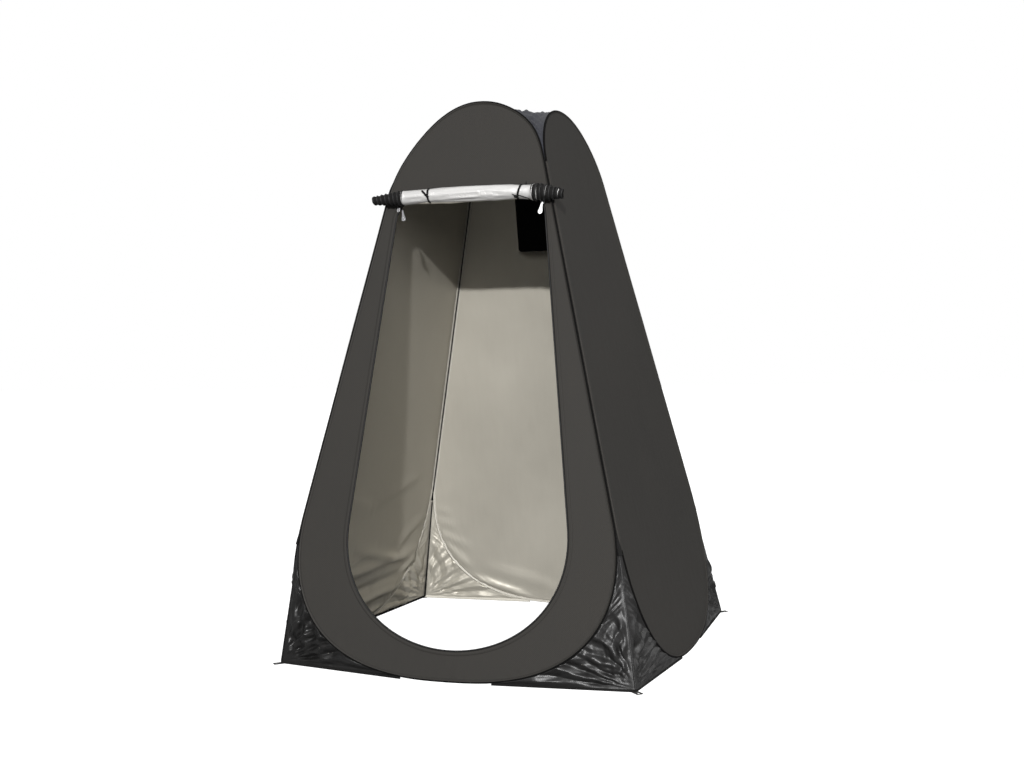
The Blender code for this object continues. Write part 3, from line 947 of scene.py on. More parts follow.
def makeRoof():
    cells = roof["cells"]

    def edgeSpot(side, share):
        turn = -shoulder(side, -1)[2] * (1 - share) + shoulder(side, 1)[2] * share
        return archSpot(side, turn)

    def place(a, b):
        column, row = round(a * cells), round(b * cells)
        onEdge = (row == 0, column == cells, row == cells, column == 0)
        along = (a, b, 1 - a, 1 - b)
        ends = [edgeSpot(side, along[side]) for side in range(4) if onEdge[side]]
        if len(ends) == 2:
            return (ends[0][0] + ends[1][0]) / 2
        if len(ends) == 1:
            return ends[0][0] + ends[0][1] * (tent["sleeveRadius"] - roof["tuck"])
        wide = 2 * wallReach(right, tent["high"])
        deep = 2 * wallReach(front, tent["high"])
        return Vector(((a - 0.5) * wide, (b - 0.5) * deep, tent["high"]))

    piece = gridPiece("roofCloth", cells, cells, place, roofLook, ("roof_cloth",))
    made = openMesh(piece)
    inside = [vertex for vertex in made.verts if not vertex.is_boundary]
    for _ in range(roof["relaxations"]):
        bmesh.ops.smooth_vert(
            made, verts=inside, factor=0.5, use_axis_x=True, use_axis_y=True, use_axis_z=True
        )
    tips = [vertex.co.copy() for vertex in made.verts if len(vertex.link_edges) == 2]
    bmesh.ops.subdivide_edges(made, edges=made.edges, cuts=roof["cuts"], use_grid_fill=True, smooth=0.6)
    edge = [vertex.co.copy() for vertex in made.verts if vertex.is_boundary]
    bmesh.ops.subdivide_edges(made, edges=made.edges, cuts=2, use_grid_fill=True)
    for vertex in made.verts:
        if vertex.is_boundary:
            continue
        where = vertex.co.copy()
        tip = min(tips, key=lambda spot: (spot - where).length)
        reach = where - tip
        wander = noise.noise(where * 7)
        turn = math.atan2(reach.y, reach.x)
        rays = zigzag(roof["folds"] * turn + 0.5 * wander)
        held = ease(min((where - spot).length for spot in edge) / 0.045)
        height = roof["foldHeight"] * rays * ease(reach.length / 0.08)
        height *= 1 - 0.65 * ease((reach.length - roof["foldReach"]) / 0.12)
        wild = noise.noise_vector(where * 6) * 0.3
        spread = Vector((turn * 2.4, math.log(reach.length / 0.05 + 0.3) * 1.2, tip.x * 9 + tip.y * 5))
        height += roof["facetHeight"] * (0.8 * facets(spread * 1.6 + wild) + 0.8 * creases(spread * 2.6))
        vertex.co.z += height * held
    closeMesh(piece, made)
    faceOut(piece, lambda point: Vector((0.0, 0.0, 1.0)))
    return thicken(piece, roof["thickness"])


roofPiece = makeRoof()
print("roof made")

# Sweeps and flat plates for the trim
def sweep(name, points, sideways, ring, looks, nodes=(), around=10, lookAt=None):
    # a closed section along points: sideways(index) gives its two axes, ring(index, angle) its place on them
    count = len(points) - 1
    runs = runsAlong(points)

    def place(a, b):
        index = round(a * count)
        across, out = sideways(index)
        angle = 2 * math.pi * b
        u, w = ring(index, angle)
        return points[index] + across * u + out * w

    def uvAt(a, b):
        return runs[round(a * count)], b

    piece = gridPiece(name, count, around, place, looks, nodes, uvAt, lookAt=lookAt)
    tidyShell(piece)
    return piece


def tidyShell(piece):
    # closes the open ends and turns the faces outwards
    made = openMesh(piece)
    openEdges = [edge for edge in made.edges if edge.is_boundary]
    if openEdges:
        bmesh.ops.holes_fill(made, edges=openEdges, sides=0)
    bmesh.ops.recalc_face_normals(made, faces=made.faces)
    closeMesh(piece, made)


def pathAxes(points, up):
    # axes across a path: the second stays close to up
    axes = []
    for index in range(len(points)):
        after = points[min(index + 1, len(points) - 1)]
        before = points[max(index - 1, 0)]
        along = (after - before).normalized()
        across = along.cross(up).normalized()
        axes.append((across, across.cross(along).normalized()))
    return lambda index: axes[index]


def plate(name, outlines, thickness, edge, into, looks, nodes=()):
    # a flat plate with rounded edges from outlines in a plane, then put in place by a matrix
    curve = bpy.data.curves.new(name, "CURVE")
    curve.dimensions = "2D"
    curve.fill_mode = "BOTH"
    curve.extrude = thickness / 2 - edge
    curve.bevel_depth = edge
    curve.bevel_resolution = 2
    for outline in outlines:
        spline = curve.splines.new("POLY")
        spline.points.add(len(outline) - 1)
        for point, (x, y) in zip(spline.points, outline):
            point.co = (x, y, 0.0, 1.0)
        spline.use_cyclic_u = True
    shape = bpy.data.objects.new(name, curve)
    made = bmesh.new()
    flat = bpy.data.meshes.new_from_object(shape)
    made.from_mesh(flat)
    bpy.data.objects.remove(shape)
    bpy.data.meshes.remove(flat)
    bmesh.ops.remove_doubles(made, verts=made.verts, dist=1e-6)
    bmesh.ops.recalc_face_normals(made, faces=made.faces)
    bmesh.ops.transform(made, matrix=into, verts=made.verts)
    return addPiece(name, made, looks, nodes)


def ringOutline(centre, radius, count=20):
    turns = [2 * math.pi * i / count for i in range(count)]
    return [
        (centre[0] + radius * math.cos(turn), centre[1] + radius * math.sin(turn))
        for turn in turns
    ]


# Corner seams: a felled seam of nylon outside, a bound edge of black tape inside, and the sleeves' join above
seam = {
    "radius": 0.0022,
    "finTop": 0.0035,
    "finFoot": 0.0085,
    "steps": 60,
    "joinSteps": 60,
    "joinRadius": 0.0024,
    "joinIn": 0.0087,
    "joinGap": 0.0052,  # half the gap between the loops where the join starts
    "joinLow": 0.014,
    "joinUnder": 0.008,  # below the start of the arches
}


def cornerPlace(side, z):
    return Vector((wallReach(side + 1, z), -wallReach(side, z), z))


def makeCornerSeam(index):
    turn = Matrix.Rotation(quarter * index, 4, "Z")
    top, foot = cornerEnds(index)
    inward = Vector((-1.0, 1.0, 0.0)).normalized()
    points = [top.lerp(foot, step / seam["steps"]) for step in range(seam["steps"] + 1)]
    axes = pathAxes(points, inward)

    def ring(step, angle):
        share = step / seam["steps"]
        wave = 1 + 0.12 * noise.noise(Vector((share * 30, index, angle)))
        end = ease(share / 0.015) * ease((1 - share) / 0.01)
        radius = seam["radius"] * wave * (0.25 + 0.75 * end)
        fin = seam["finTop"] * (1 - share) + seam["finFoot"] * share
        across, out = radius * math.cos(angle), radius * math.sin(angle)
        if out > 0.55 * radius:
            out += fin * end * (1 + 0.15 * noise.noise(Vector((share * 45, index, 0))))
            across *= 0.6
        return across, out

    depth, breadth = corners[index].split("_")
    piece = sweep(
        depth + breadth.capitalize() + "CornerSeam", points, axes, ring, (nylonLook, tapeLook),
        (corners[index] + "_corner_seam",), around=12, lookAt=lambda a, b: 1 if 0.06 < b < 0.44 else 0,
    )
    piece.data.transform(turn)
    low, high = top.z - seam["joinLow"], tent["archStarts"][index] - seam["joinUnder"]
    join, widths = [], []
    for step in range(seam["joinSteps"] + 1):
        z = low + (high - low) * (step / seam["joinSteps"]) ** 1.6
        closed = ease((z - top.z) / 0.075)
        join.append(cornerPlace(index, z) + inward * (seam["joinIn"] * closed + 0.004 * (1 - closed)))
        widths.append(seam["joinRadius"] + seam["joinGap"] * (1 - closed))
    thread = sweep(
        depth + breadth.capitalize() + "SleeveJoin", join, pathAxes(join, inward),
        lambda step, angle: (widths[step] * math.cos(angle), seam["joinRadius"] * math.sin(angle)),
        tapeLook, around=8,
    )
    thread.data.transform(turn)


for index in range(4):
    makeCornerSeam(index)
print("corner seams made")

# Ground hems: bound edges from the gussets' lower edges to the ground
hem = {"thickness": 0.0018, "above": 0.0036, "ground": 0.0006, "steps": 60}


def makeHem(side, hand):
    top, foot = (toWall(side, point) for point in cornerEnds(side, hand))
    foot = top.lerp(foot, gusset["footShare"])
    centre, outward = footSpot(side, gusset["lowTurn"])
    start = centre + outward * tent["sleeveRadius"] * 0.6
    into = wallMatrix(side)
    flip = Matrix.Diagonal((hand, 1.0, 1.0, 1.0))
    points, halves = [], []
    for step in range(hem["steps"] + 1):
        share = step / hem["steps"]
        spot = start.lerp(foot, share)
        wave = 0.0008 * noise.noise(Vector((share * 16, side, hand)))
        where = into @ (flip @ spot)
        high = where.z + hem["above"] + wave
        halves.append(max(high - hem["ground"], 0.002) / 2)
        points.append(Vector((where.x, where.y, hem["ground"] + halves[-1])))
    outward = into.to_3x3() @ Vector((0.0, 0.0, 1.0))
    corner = corners[side] if hand > 0 else corners[side - 1]
    depth, breadth = corner.split("_")
    sweep(
        depth + breadth.capitalize() + "Hem" + sides[side].capitalize(), points, pathAxes(points, outward),
        lambda step, angle: (halves[step] * math.cos(angle), hem["thickness"] / 2 * math.sin(angle)),
        (tapeLook, sleeveSilverLook), around=10,
        # only this one back hem gets a silver inner face and the others stay black tape: painted light, a lit
        # copy of the same hem
        lookAt=lambda a, b: 1 if side == back and hand > 0 and b > 0.5 else 0,
    )


for side in range(4):
    for hand in (1, -1):
        makeHem(side, hand)
print("hems made")

# Peg loops: folded webbing with a slot for the peg
peg = {
    "length": 0.036,
    "width": 0.022,
    "slot": (0.009, 0.015),
    "slotMargin": 0.004,
    "tuck": 0.010,
    "thickness": 0.0019,
    "edge": 0.0007,
    "corner": 0.004,
}


def roundedBox(half, low, high, corner, steps=5):
    outline = []
    for turn, (x, y) in enumerate(((1, -1), (1, 1), (-1, 1), (-1, -1))):
        middle = (x * (half - corner), high - corner if y > 0 else low + corner)
        for step in range(steps + 1):
            angle = quarter * (turn - 1 + step / steps)
            outline.append((middle[0] + math.cos(angle) * corner, middle[1] + math.sin(angle) * corner))
    return outline


def makePegLoop(index):
    half = peg["length"] / 2
    slotLow = half - peg["slotMargin"] - peg["slot"][1]
    outlines = [
        roundedBox(peg["width"] / 2, -half, half, peg["corner"]),
        roundedBox(peg["slot"][0] / 2, slotLow, slotLow + peg["slot"][1], 0.003),
    ]
    beyond = (half - peg["tuck"]) * math.sqrt(0.5)
    tipAlong, tipOut = gusset["tips"][index]
    into = (
        Matrix.Rotation(quarter * index, 4, "Z")
        @ Matrix.Translation((tipAlong + beyond, -tipOut - beyond, peg["thickness"] / 2 + 0.0001))
        @ Matrix.Rotation(math.radians(-135), 4, "Z")
    )
    depth, breadth = corners[index].split("_")
    plate(
        depth + breadth.capitalize() + "PegLoop", outlines, peg["thickness"], peg["edge"], into, webbingLook,
        (corners[index] + "_peg_loop",),
    )


for index in range(4):
    makePegLoop(index)
print("peg loops made")

# Doorway: woven tape with its coil, under a turned strip of the wall's cloth
zipper = {
    "topTurn": 2.3215,
    "tapeIn": -0.0022,
    "tapeOut": 0.0108,
    "tapeLift": 0.0010,
    "tapeThick": 0.0009,
    "coilRadius": 0.0017,
    "coilPitch": 0.0032,
    "coilAcross": 0.0004,
    "coilLift": 0.0026,
    "stripIn": 0.0036,
    "stripOut": 0.0150,
    "stripLift": 0.0019,
    "stripThick": 0.0009,
}


def doorLine(count):
    turns = [t for t in evenTurns(doorAt, count)]
    half = len(turns) // 2
    ordered = turns[half:-1] + turns[:half + 1]  # from the middle of the top, down the left, up the right
    kept = [t for t in ordered if abs(t) <= zipper["topTurn"]]
    return [doorAt(t) for t in kept]


def doorAxes(points):
    axes = []
    for index in range(len(points)):
        along = (points[min(index + 1, len(points) - 1)] - points[max(index - 1, 0)]).normalized()
        axes.append((Vector((along.y, -along.x, 0.0)), Vector((0.0, 0.0, 1.0))))
    return lambda index: axes[index]


def makeZip():
    into = wallMatrix(front)
    points = doorLine(420)
    axes = doorAxes(points)

    def band(low, high, lift, thick, name, looks, slot, nodes=(), wave=0.0):
        # a flat band along the doorway, from low to high across it
        middle, half = (low + high) / 2, (high - low) / 2
        last = len(points) - 1
        runs = runsAlong(points)

        def ring(index, angle):
            square = max(abs(math.cos(angle)), abs(math.sin(angle)))
            across = middle + half * math.cos(angle) / square
            ripple = wave * noise.noise(Vector((index * 0.22, low * 900, 0)))
            return across, lift + thick / 2 * math.sin(angle) / square * 0.98 + ripple

        def place(a, b):
            index = round(a * last)
            sideways, out = axes(index)
            across, up = ring(index, 2 * math.pi * b)
            return into @ (points[index] + sideways * across + out * up)

        def uvAt(a, b):
            index = round(a * last)
            return runs[index], ring(index, 2 * math.pi * b)[0] - low

        tidyShell(gridPiece(name, last, 12, place, looks, nodes, uvAt))

    band(zipper["tapeIn"], zipper["tapeOut"], zipper["tapeLift"], zipper["tapeThick"], "doorZipTape", tapeLook,
         "zip_tape", ("door_zip",))
    band(zipper["stripIn"], zipper["stripOut"], zipper["stripLift"], zipper["stripThick"], "doorZipStrip",
         wallLook, "wall_fabric", wave=0.0004)
    length = runsAlong(points)[-1]
    count = round(length / zipper["coilPitch"]) * 3
    turns = np.interp(np.linspace(0, length, count + 1), runsAlong(points), range(len(points)))

    def coilPlace(a, b):
        step = round(a * count)
        low = min(int(turns[step]), len(points) - 2)
        spot = points[low].lerp(points[low + 1], turns[step] - low)
        across, out = axes(low)
        radius = zipper["coilRadius"] * (1.0 if step % 3 == 0 else 0.72 if step % 3 == 1 else 0.86)
        if step in (0, count):
            radius = 0.0
        angle = 2 * math.pi * b
        spot = spot + across * (zipper["coilAcross"] + radius * 1.15 * math.cos(angle))
        return into @ (spot + out * (zipper["coilLift"] + radius * 0.8 * math.sin(angle)))

    coil = gridPiece("doorZipCoil", count, 6, coilPlace, coilLook)
    tidyShell(coil)


makeZip()
print("zip made")

# Door flap rolled up outwards: silver outside, wound round itself, with cones of wound zip tape at its ends
roll = {
    "axisUp": 1.570,
    "axisOut": 0.0306,
    "outer": 0.0262,
    "layer": 0.00163,
    "turns": 12.6,
    "stepsPerTurn": 30,
    "rows": 84,
    "endRows": 4,
    "barrelLeft": -0.213,
    "barrelRight": 0.238,
    "turnReach": 0.0157,
    "widestTurn": 7.6,
    "tape": 0.0155,
    "thickness": 0.0005,
    "coilRadius": 0.0017,
}
# along the roll: place, outer radius, rise of its axis
rollShape = (
    (-0.352, 0.0235, -0.0100),
    (-0.300, 0.0250, -0.0075),
    (-0.226, 0.0262, -0.0055),
    (-0.208, 0.0238, -0.0050),
    (-0.165, 0.0240, -0.0035),
    (-0.128, 0.0236, -0.0025),
    (-0.085, 0.0256, -0.0030),
    (0.000, 0.0266, -0.0035),
    (0.110, 0.0262, -0.0055),
    (0.170, 0.0250, -0.0065),
    (0.196, 0.0232, -0.0075),
    (0.232, 0.0238, -0.0105),
    (0.244, 0.0280, -0.0115),
    (0.270, 0.0320, -0.0130),
    (0.300, 0.0310, -0.0170),
    (0.345, 0.0290, -0.0230),
)
# creases of the barrel: points of place and turn in degrees, width in radians, depth
rollCreases = (
    (((-0.116, 135), (-0.054, 148), (0.014, 152), (0.094, 166), (0.172, 140)), 0.15, 0.0068),
    (((-0.112, 108), (-0.050, 114), (0.036, 121), (0.110, 124), (0.190, 112)), 0.17, 0.0050),
    (((-0.116, 178), (-0.020, 196), (0.070, 205), (0.160, 190)), 0.20, 0.0034),
    (((-0.203, 141), (-0.165, 144), (-0.132, 136)), 0.20, 0.0034),
    (((-0.112, 160), (-0.060, 172), (-0.010, 178)), 0.12, 0.0038),
    (((0.020, 136), (0.080, 143), (0.150, 133)), 0.11, 0.0036),
)


def along(table, x, column):
    return float(np.interp(x, [row[0] for row in table], [row[column] for row in table]))


def rollRadius(x, theta):
    # outer radius of the roll with its creases, gathers at the ties and crumples at the right end
    radius = along(rollShape, x, 1)
    turn = theta % (2 * math.pi)
    for points, width, depth in rollCreases:
        if points[0][0] < x < points[-1][0]:
            want = math.radians(along(points, x, 1))
            share = (x - points[0][0]) / (points[-1][0] - points[0][0])
            off = (turn - want) / width
            profile = math.exp(-off * off) if off > 0 else math.exp(-5 * off * off)
            radius -= depth * profile * math.sin(math.pi * share) ** 0.5
            radius += 0.35 * depth * math.exp(-(off - 1.6) ** 2) * math.sin(math.pi * share)
    for name in ("left", "right"):
        near = math.exp(-(((x - ties["places"][name]) / 0.016) ** 2))
        radius -= 0.0009 * near * (0.4 + math.cos(11 * turn + 4 * noise.noise(Vector((x * 30, turn, 0)))))
    rough = math.exp(-(((x - 0.218) / 0.014) ** 2))
    radius += 0.0011 * rough * noise.noise(Vector((x * 190, turn * 5, 2.0)))
    radius += 0.0007 * noise.noise(Vector((x * 22, turn * 1.6, 5.0)))
    if x > roll["barrelRight"]:
        radius += 0.0032 * noise.noise(Vector((x * 70, math.cos(turn) * 2.2, math.sin(turn) * 2.2)))
    return radius


def rollSpot(x, theta, inset=0.0, lift=0.0):
    # theta 0 is at the back against the wall, a quarter turn is below and a half turn in front
    share = 1 - inset / roll["outer"]
    radius = rollRadius(x, theta) * share + lift
    up = upWall(front, roll["axisUp"]) + along(rollShape, x, 2)
    return Vector((x, up - radius * math.sin(theta), roll["axisOut"] - radius * math.cos(theta)))


ties = {
    "places": {"left": -0.128, "right": 0.196},
    "width": 0.0072,
    "thick": 0.0022,
}


def reachOf(turn, hand):
    # how far the roll's end stands out at a turn, counted in from the outside
    out = roll["turnReach"] * min(turn, roll["widestTurn"])
    out -= 0.022 * max(turn - roll["widestTurn"], 0.0)
    if hand > 0:
        out *= 0.93
        out += 0.0045 * noise.noise(Vector((turn * 1.9, 7.0, 0))) * min(turn, 1.0)
        return roll["barrelRight"] + out
    return roll["barrelLeft"] - out


def makeRoll():
    into = wallMatrix(front)
    columns = round(roll["turns"] * roll["stepsPerTurn"])
    rows, ends = roll["rows"], roll["endRows"]

    def xAt(turn, b):
        row = b * rows
        low, high = reachOf(turn, -1), reachOf(turn, 1)
        tape = roll["tape"]
        if row <= ends:
            return low + tape * row / ends
        if row >= rows - ends:
            return high - tape * (rows - row) / ends
        return low + tape + (high - low - 2 * tape) * (row - ends) / (rows - 2 * ends)

    def place(a, b):
        turn = a * roll["turns"]
        x = xAt(turn, b)
        return into @ rollSpot(x, 2 * math.pi * turn, roll["layer"] * turn)

    def uvAt(a, b):
        turn = a * roll["turns"]
        return turn * 0.12, xAt(turn, b)

    def lookAt(a, b):
        row = b * rows
        if a * roll["turns"] < 0.75:
            return 0
        return 2 if row < ends or row > rows - ends else 0

    # the roll's silver face uses the lighter copy of the silver coating, which carries painted light
    piece = gridPiece(
        "doorRoll", columns, rows, place, (rollSilverPaintedLight, wallLook, tapeLook, tapeLook),
        ("door_roll",), uvAt, lookAt=lookAt,
    )
    faceOut(piece, lambda point: point - into @ rollSpot(point.x, 0.0, roll["outer"]))
    thicken(piece, roll["thickness"])
    for hand, name in ((-1, "Left"), (1, "Right")):
        points = []
        last = 8.6 if hand < 0 else 8.2
        for step in range(int(last * 34)):
            turn = 0.35 + step / 34
            x = reachOf(turn, hand) - hand * 0.0035
            wild = 0.0022 * noise.noise(Vector((turn * 3.1, 1.0, 0))) if hand > 0 else 0.0
            points.append(into @ rollSpot(x, 2 * math.pi * turn, roll["layer"] * turn, 0.0012 + wild))

        def ring(index, angle, count=len(points)):
            ends = ease(min(index, count - 1 - index) / 6)
            radius = roll["coilRadius"] * ends * (0.82 + 0.18 * (index % 2))
            return radius * 1.5 * math.cos(angle), radius * math.sin(angle)

        axis = [into @ rollSpot(point.x, 0.0, roll["outer"]) for point in points]

        def axes(index, points=points, axis=axis):
            along = (points[min(index + 1, len(points) - 1)] - points[max(index - 1, 0)]).normalized()
            out = (points[index] - axis[index]).normalized()
            return along.cross(out).normalized(), out

        sweep("doorRollCoil" + name, points, axes, ring, coilLook, around=8)
    return piece


rollPiece = makeRoll()
print("roll made")

# Top of the door flap: down from its seam behind the roll, with a slack dark fold hanging under it
flapTop = {
    "half": 0.238,
    "seam": 0.008,
    "columns": 150,
    "rows": 46,
    "thickness": 0.0006,
    "lift": 0.0016,
    "hang": 0.0245,  # how far out of the wall the slack fold hangs
}
# lowest line of the slack fold: place along the roll, height up the wall
flapHang = (
    (-0.238, 1.570), (-0.165, 1.566), (-0.073, 1.5625), (-0.019, 1.562), (0.033, 1.5645), (0.100, 1.566),
    (0.238, 1.566),
)


def makeFlapTop():
    into = wallMatrix(front)
    top = upWall(front, door["heights"][3]) + flapTop["seam"]

    def place(a, b):
        x = flapTop["half"] * (2 * a - 1)
        axis = upWall(front, roll["axisUp"]) + along(rollShape, x, 2)
        low = along(flapHang, x, 1) + 0.0016 * noise.noise(Vector((x * 26, 4.0, 0)))
        wave = 0.0012 * noise.noise(Vector((x * 18, b * 3, 1.0)))
        joined = axis - 0.019
        path = (
            (0.0, top, flapTop["lift"]),
            (0.30, 1.606, flapTop["lift"] + 0.0005),
            (0.48, 1.585, 0.0046),
            (0.70, (low + joined) / 2 + 0.004, flapTop["hang"] * 0.55),
            (0.82, low, flapTop["hang"]),
            (0.90, low + 0.35 * (joined - low), flapTop["hang"] + 0.0075),
            (1.0, joined, flapTop["hang"] + 0.0095),
        )
        v, w = along(path, b, 1), along(path, b, 2)
        loose = ease((b - 0.35) / 0.2) * ease((1 - b) / 0.1)
        return into @ Vector((x, v + wave * loose, w + 1.6 * wave * loose))

    piece = gridPiece(
        "doorFlapTop", flapTop["columns"], flapTop["rows"], place, (wallLook, silverLook),
        ("door_flap_top",), lambda a, b: (a * 0.476, b * 0.12),
    )
    made = openMesh(piece)
    for _ in range(3):
        bmesh.ops.smooth_vert(
            made, verts=[vertex for vertex in made.verts if not vertex.is_boundary], factor=0.5,
            use_axis_x=False, use_axis_y=True, use_axis_z=True,
        )
    closeMesh(piece, made)
    outward = into.to_3x3() @ Vector((0.0, 0.0, 1.0))
    total = sum(face.normal.dot(outward) for face in piece.data.polygons if face.center.z > 1.58)
    if total < 0:
        piece.data.flip_normals()
    return thicken(piece, flapTop["thickness"])


flapTopPiece = makeFlapTop()


# Elastic ties round the roll
def bandAlong(name, table, start=None, end=None, nodes=(), width=None, thick=None):
    # a flat band laid on the roll through places and turns in degrees
    into = wallMatrix(front)
    width, thick = width or ties["width"], thick or ties["thick"]
    steps = max(8, int(abs(table[0][0] - table[-1][0]) / 3.5))
    points, across, out = [], [], []
    for step in range(steps + 1):
        degrees = table[0][0] + (table[-1][0] - table[0][0]) * step / steps
        rows = sorted(table)
        x = along(rows, degrees, 1)
        lift = along(rows, degrees, 2)
        theta = math.radians(degrees)
        points.append(into @ rollSpot(x, theta, 0.0, lift + thick * 0.45))
        centre = into @ rollSpot(x, theta, roll["outer"])
        out.append((points[-1] - centre).normalized())
    for extra, first in ((start, True), (end, False)):
        for spot in extra or ():
            where = into @ Vector(spot)
            at = 0 if first else len(points)
            points.insert(at, where)
            out.insert(at, out[0] if first else out[-1])
    for index in range(len(points)):
        way = (points[min(index + 1, len(points) - 1)] - points[max(index - 1, 0)]).normalized()
        side = way.cross(out[index]).normalized()
        across.append(side)
        out[index] = side.cross(way).normalized()

    def ring(index, angle, count=len(points)):
        end = 0.35 + 0.65 * ease(min(index, count - 1 - index) / 1.5)
        flat = abs(math.cos(angle)) ** 0.6 * math.copysign(1, math.cos(angle))
        return width / 2 * flat * end, thick / 2 * math.sin(angle)

    return sweep(name, points, lambda index: (across[index], out[index]), ring, cordLook, nodes)


def makeKnot(name, x, degrees, size, radius):
    # an overhand knot: a trefoil of the band
    into = wallMatrix(front)
    middle = into @ rollSpot(x, math.radians(degrees), 0.0, size * 1.2)
    axis = into @ rollSpot(x, math.radians(degrees), roll["outer"])
    out = (middle - axis).normalized()
    sideways = Vector((1.0, 0.0, 0.0))
    upwards = out.cross(sideways).normalized()
    points = []
    for step in range(72):
        t = 2 * math.pi * step / 72
        u = (math.sin(t) + 2 * math.sin(2 * t)) * size
        v = (math.cos(t) - 2 * math.cos(2 * t)) * size
        points.append(middle + sideways * u + upwards * v * 0.85 + out * (-math.sin(3 * t)) * size)
    points.append(points[0])
    return sweep(name, points, pathAxes(points, out), lambda index, angle: (
        radius * math.cos(angle), radius * math.sin(angle)), cordLook, around=8)


def makeTies():
    top = upWall(front, door["heights"][3]) + flapTop["seam"] + 0.004
    up = upWall(front, roll["axisUp"])
    left, right = ties["places"]["left"], ties["places"]["right"]
    bandAlong(
        "doorTieLeft",
        ((288, left + 0.003, 0.0003), (226, left + 0.0055, 0.0), (155, left + 0.0055, 0.0),
         (100, left + 0.008, 0.0), (62, left + 0.009, 0.0004)),
        [(left + 0.003, 1.622, 0.0030), (left + 0.002, top, 0.0024)],
        [(left + 0.009, up - 0.012, 0.0018), (left + 0.009, up, -0.0006)], ("door_tie_left",),
    )
    bandAlong("doorTieLeftTail", ((158, left + 0.0052, 0.0011), (176, left - 0.002, 0.0007),
                                  (206, left - 0.014, 0.0004), (213, left - 0.0155, 0.0014)))
    makeKnot("doorTieLeftKnot", left + 0.0054, 157, 0.0014, 0.0014)
    bandAlong(
        "doorTieRight",
        ((288, right + 0.010, 0.0003), (198, right + 0.0065, 0.0), (139, right - 0.001, 0.0),
         (100, right - 0.004, 0.0), (62, right - 0.004, 0.0004)),
        [(right + 0.011, 1.622, 0.0030), (right + 0.011, top, 0.0024)],
        [(right - 0.004, up - 0.012, 0.0018), (right - 0.004, up, -0.0006)], ("door_tie_right",),
    )
    bandAlong("doorTieRightTail", ((137, right - 0.003, 0.0014), (131, right + 0.008, 0.0006),
                                   (116, right + 0.028, 0.0003), (98, right + 0.039, 0.0012)), width=0.0030)
    bandAlong("doorTieRightCurl", ((128, right - 0.004, 0.0020), (142, right - 0.013, 0.0028),
                                   (150, right - 0.019, 0.0012)), width=0.0026)
    makeKnot("doorTieRightKnot", right - 0.0055, 126, 0.0022, 0.0019)


makeTies()
print("ties made")

# Zip sliders with their pulls, under the cones of the roll
slider = {
    "height": 1.533,
    "beside": 0.006,
    "half": 0.0050,
    "length": 0.013,
    "thickness": 0.0013,
    "rise": 0.0033,
    "gap": 0.0020,
    "bridge": 0.0009,
    "pullLength": 0.0400,
    "pullTop": 0.0023,
    "pullThickness": 0.0024,
    "pullRise": -0.0025,
    "pullIn": {"left": 0.0170, "right": 0.0010},
    "pullOut": 0.0092,
    "pullTurn": {"left": 12.0, "right": -9.0},
    "hole": 0.0024,
}


def doorHalfAt(z):
    low, foot, head, high = door["heights"]
    rise = max(0.0, z - head) / (high - head)
    return (door["half"] - door["taper"] * z) * math.cos(math.asin(rise)) ** door["headFullness"]


def pullOutline():
    # teardrop: narrow and round at its eye, widest near its end
    length, outline = slider["pullLength"], []
    table = ((0.0, 0.0), (0.02, 0.45), (0.08, 0.9), (0.2, 1.0), (0.34, 1.16), (0.5, 1.62), (0.66, 2.3),
             (0.79, 2.8), (0.87, 2.78), (0.93, 2.3), (0.97, 1.6), (1.0, 0.0))
    for step in range(41):
        share = 0.5 - 0.5 * math.cos(math.pi * step / 40)
        outline.append((along(table, share, 1) * slider["pullTop"], -length * share))
    return outline + [(-x, y) for x, y in outline[-2:0:-1]]


def makeSlider(hand, name):
    into = wallMatrix(front)
    v = upWall(front, slider["height"])
    u = door["shift"] + hand * (doorHalfAt(slider["height"]) + slider["beside"])
    half, length = slider["half"], slider["length"]
    outline = []
    for x, y in ((0.62, -0.5), (0.92, -0.34), (0.78, 0.05), (1.0, 0.34), (0.8, 0.5)):
        outline.append((x * half, y * length))
    outline += [(-x, y) for x, y in reversed(outline)]
    base = Matrix.Translation((u, v, slider["gap"] + slider["rise"] + slider["thickness"] / 2))
    plate("zipSlider" + name.capitalize(), [outline], slider["thickness"], 0.0005, into @ base,
          metalLook, ("zip_slider_" + name,))
    lower = Matrix.Translation((u, v, slider["gap"] + slider["thickness"] / 2 - 0.0006))
    plate("zipSliderFoot" + name.capitalize(), [outline], slider["thickness"] * 0.8, 0.0004, into @ lower,
          metalLook, ("zip_slider_" + name,))
    neck = ringOutline((0.0, length * 0.28), 0.0016, 12)
    plate("zipSliderNeck" + name.capitalize(), [neck], slider["rise"] + slider["thickness"], 0.0002,
          into @ Matrix.Translation((u, v, slider["gap"] + slider["rise"] / 2 + 0.0005)), metalLook)
    points = []
    for step in range(19):
        angle = math.pi * step / 18
        lift = slider["gap"] + slider["rise"] + 0.0011 + 0.0027 * math.sin(angle)
        points.append(into @ Vector((u, v - 0.0042 * math.cos(angle), lift)))
    sweep("zipSliderBridge" + name.capitalize(), points, pathAxes(points, Vector((1.0, 0.0, 0.0))),
          lambda index, angle: (slider["bridge"] * math.cos(angle), 1.5 * slider["bridge"] * math.sin(angle)),
          metalLook, around=10)
    holes = [ringOutline((0.0, -0.0034), 0.0011, 14)]
    for x, y in ((0.0022, -0.0290), (-0.0024, -0.0345)):
        holes.append(ringOutline((x, y), slider["hole"], 16))
    pull = (
        Matrix.Translation((u - hand * slider["pullIn"][name], v + slider["pullRise"], slider["pullOut"]))
        @ Matrix.Rotation(math.radians(slider["pullTurn"][name]), 4, "Z")
        @ Matrix.Rotation(math.radians(-4), 4, "X")
    )
    # the left pull is the same kind as the right one; its grey look is painted shade
    look = pullLook if name == "right" else shadedPullLook
    plate("zipPull" + name.capitalize(), [pullOutline()] + holes, slider["pullThickness"], 0.0009, into @ pull,
          look, ("zip_pull_" + name,))


for hand, name in ((-1, "left"), (1, "right")):
    makeSlider(hand, name)
print("sliders made")

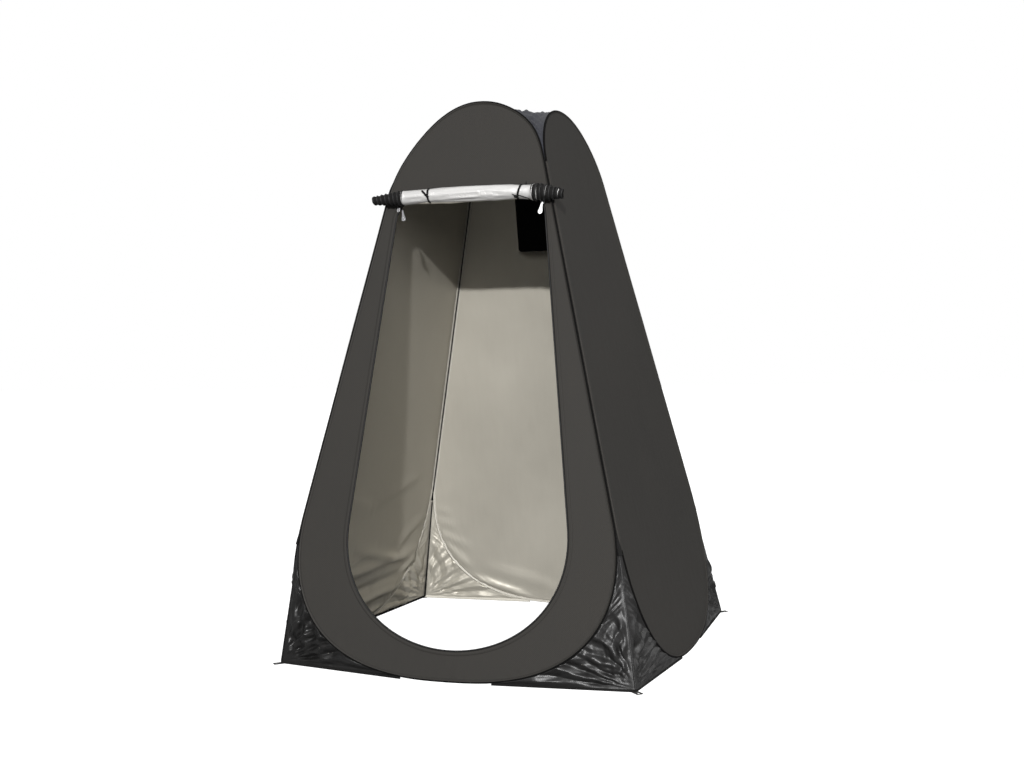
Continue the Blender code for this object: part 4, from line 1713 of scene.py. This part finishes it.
# Back window: net in a bound edge, with a cover sewn on outside
cover = {"margin": 0.012, "binding": 0.006, "netGap": 0.0003}


def makeWindow():
    into = wallMatrix(back)
    low, high = upWall(back, window["low"]), upWall(back, window["high"])
    half = window["half"]

    def band(outer, inner, lift, thickness, name, look, slot):
        outlines = [
            roundedBox(half + outer, low - outer, high + outer, window["corner"] + outer * 0.5, 8),
            roundedBox(half + inner, low - inner, high + inner, window["corner"] + inner * 0.5, 8),
        ]
        plate(name, outlines, thickness, 0.0004, into @ Matrix.Translation((0.0, 0.0, lift)), look)

    columns, rows = 68, 88

    def netPlace(a, b):
        x = (half - cover["netGap"]) * (2 * a - 1)
        y = low + (high - low) * b
        slack = math.sin(math.pi * a) * math.sin(math.pi * b)
        ripple = 0.0006 * noise.noise(Vector((x * 24, y * 24, 0)))
        return into @ Vector((x, y, (-0.0012 + ripple) * slack))

    net = gridPiece("rearWindowMesh", columns // 2, rows // 2, netPlace, netLook,
                    ("rear_window_mesh",))
    thicken(net, 0.0006, False)
    outer, bottom, top = half + cover["margin"], low - cover["margin"], high + cover["margin"]

    def coverPlace(a, b):
        x, y = outer * (2 * a - 1), bottom + (top - bottom) * b
        slack = (1 - (2 * a - 1) ** 4) * ease(b / 0.15) * ease((1 - b) / 0.25)
        out = 0.0021 + slack * (0.0012 + 0.0011 * noise.noise(Vector((x * 13, y * 13, 3.0))))
        return into @ Vector((x, y, out))

    flap = gridPiece(
        "rearWindowCover", 40, 52, coverPlace, wallLook, ("rear_window_cover",),
        lambda a, b: (b * 0.25, min(a, 1 - a, b, 1 - b) * 0.2),
    )
    faceOut(flap, lambda point: into.to_3x3() @ Vector((0.0, 0.0, 1.0)))
    thicken(flap, 0.0008, False)
    band(0.0022, -0.0015, -0.0012, 0.0012, "rearWindowBinding", netLook, "seam_binding")
    band(cover["margin"] + 0.001, cover["margin"] - cover["binding"], 0.0023, 0.0014, "rearWindowCoverEdge",
         tapeLook, "seam_binding")
    return net, flap


netPiece, coverPiece = makeWindow()
print("window made")
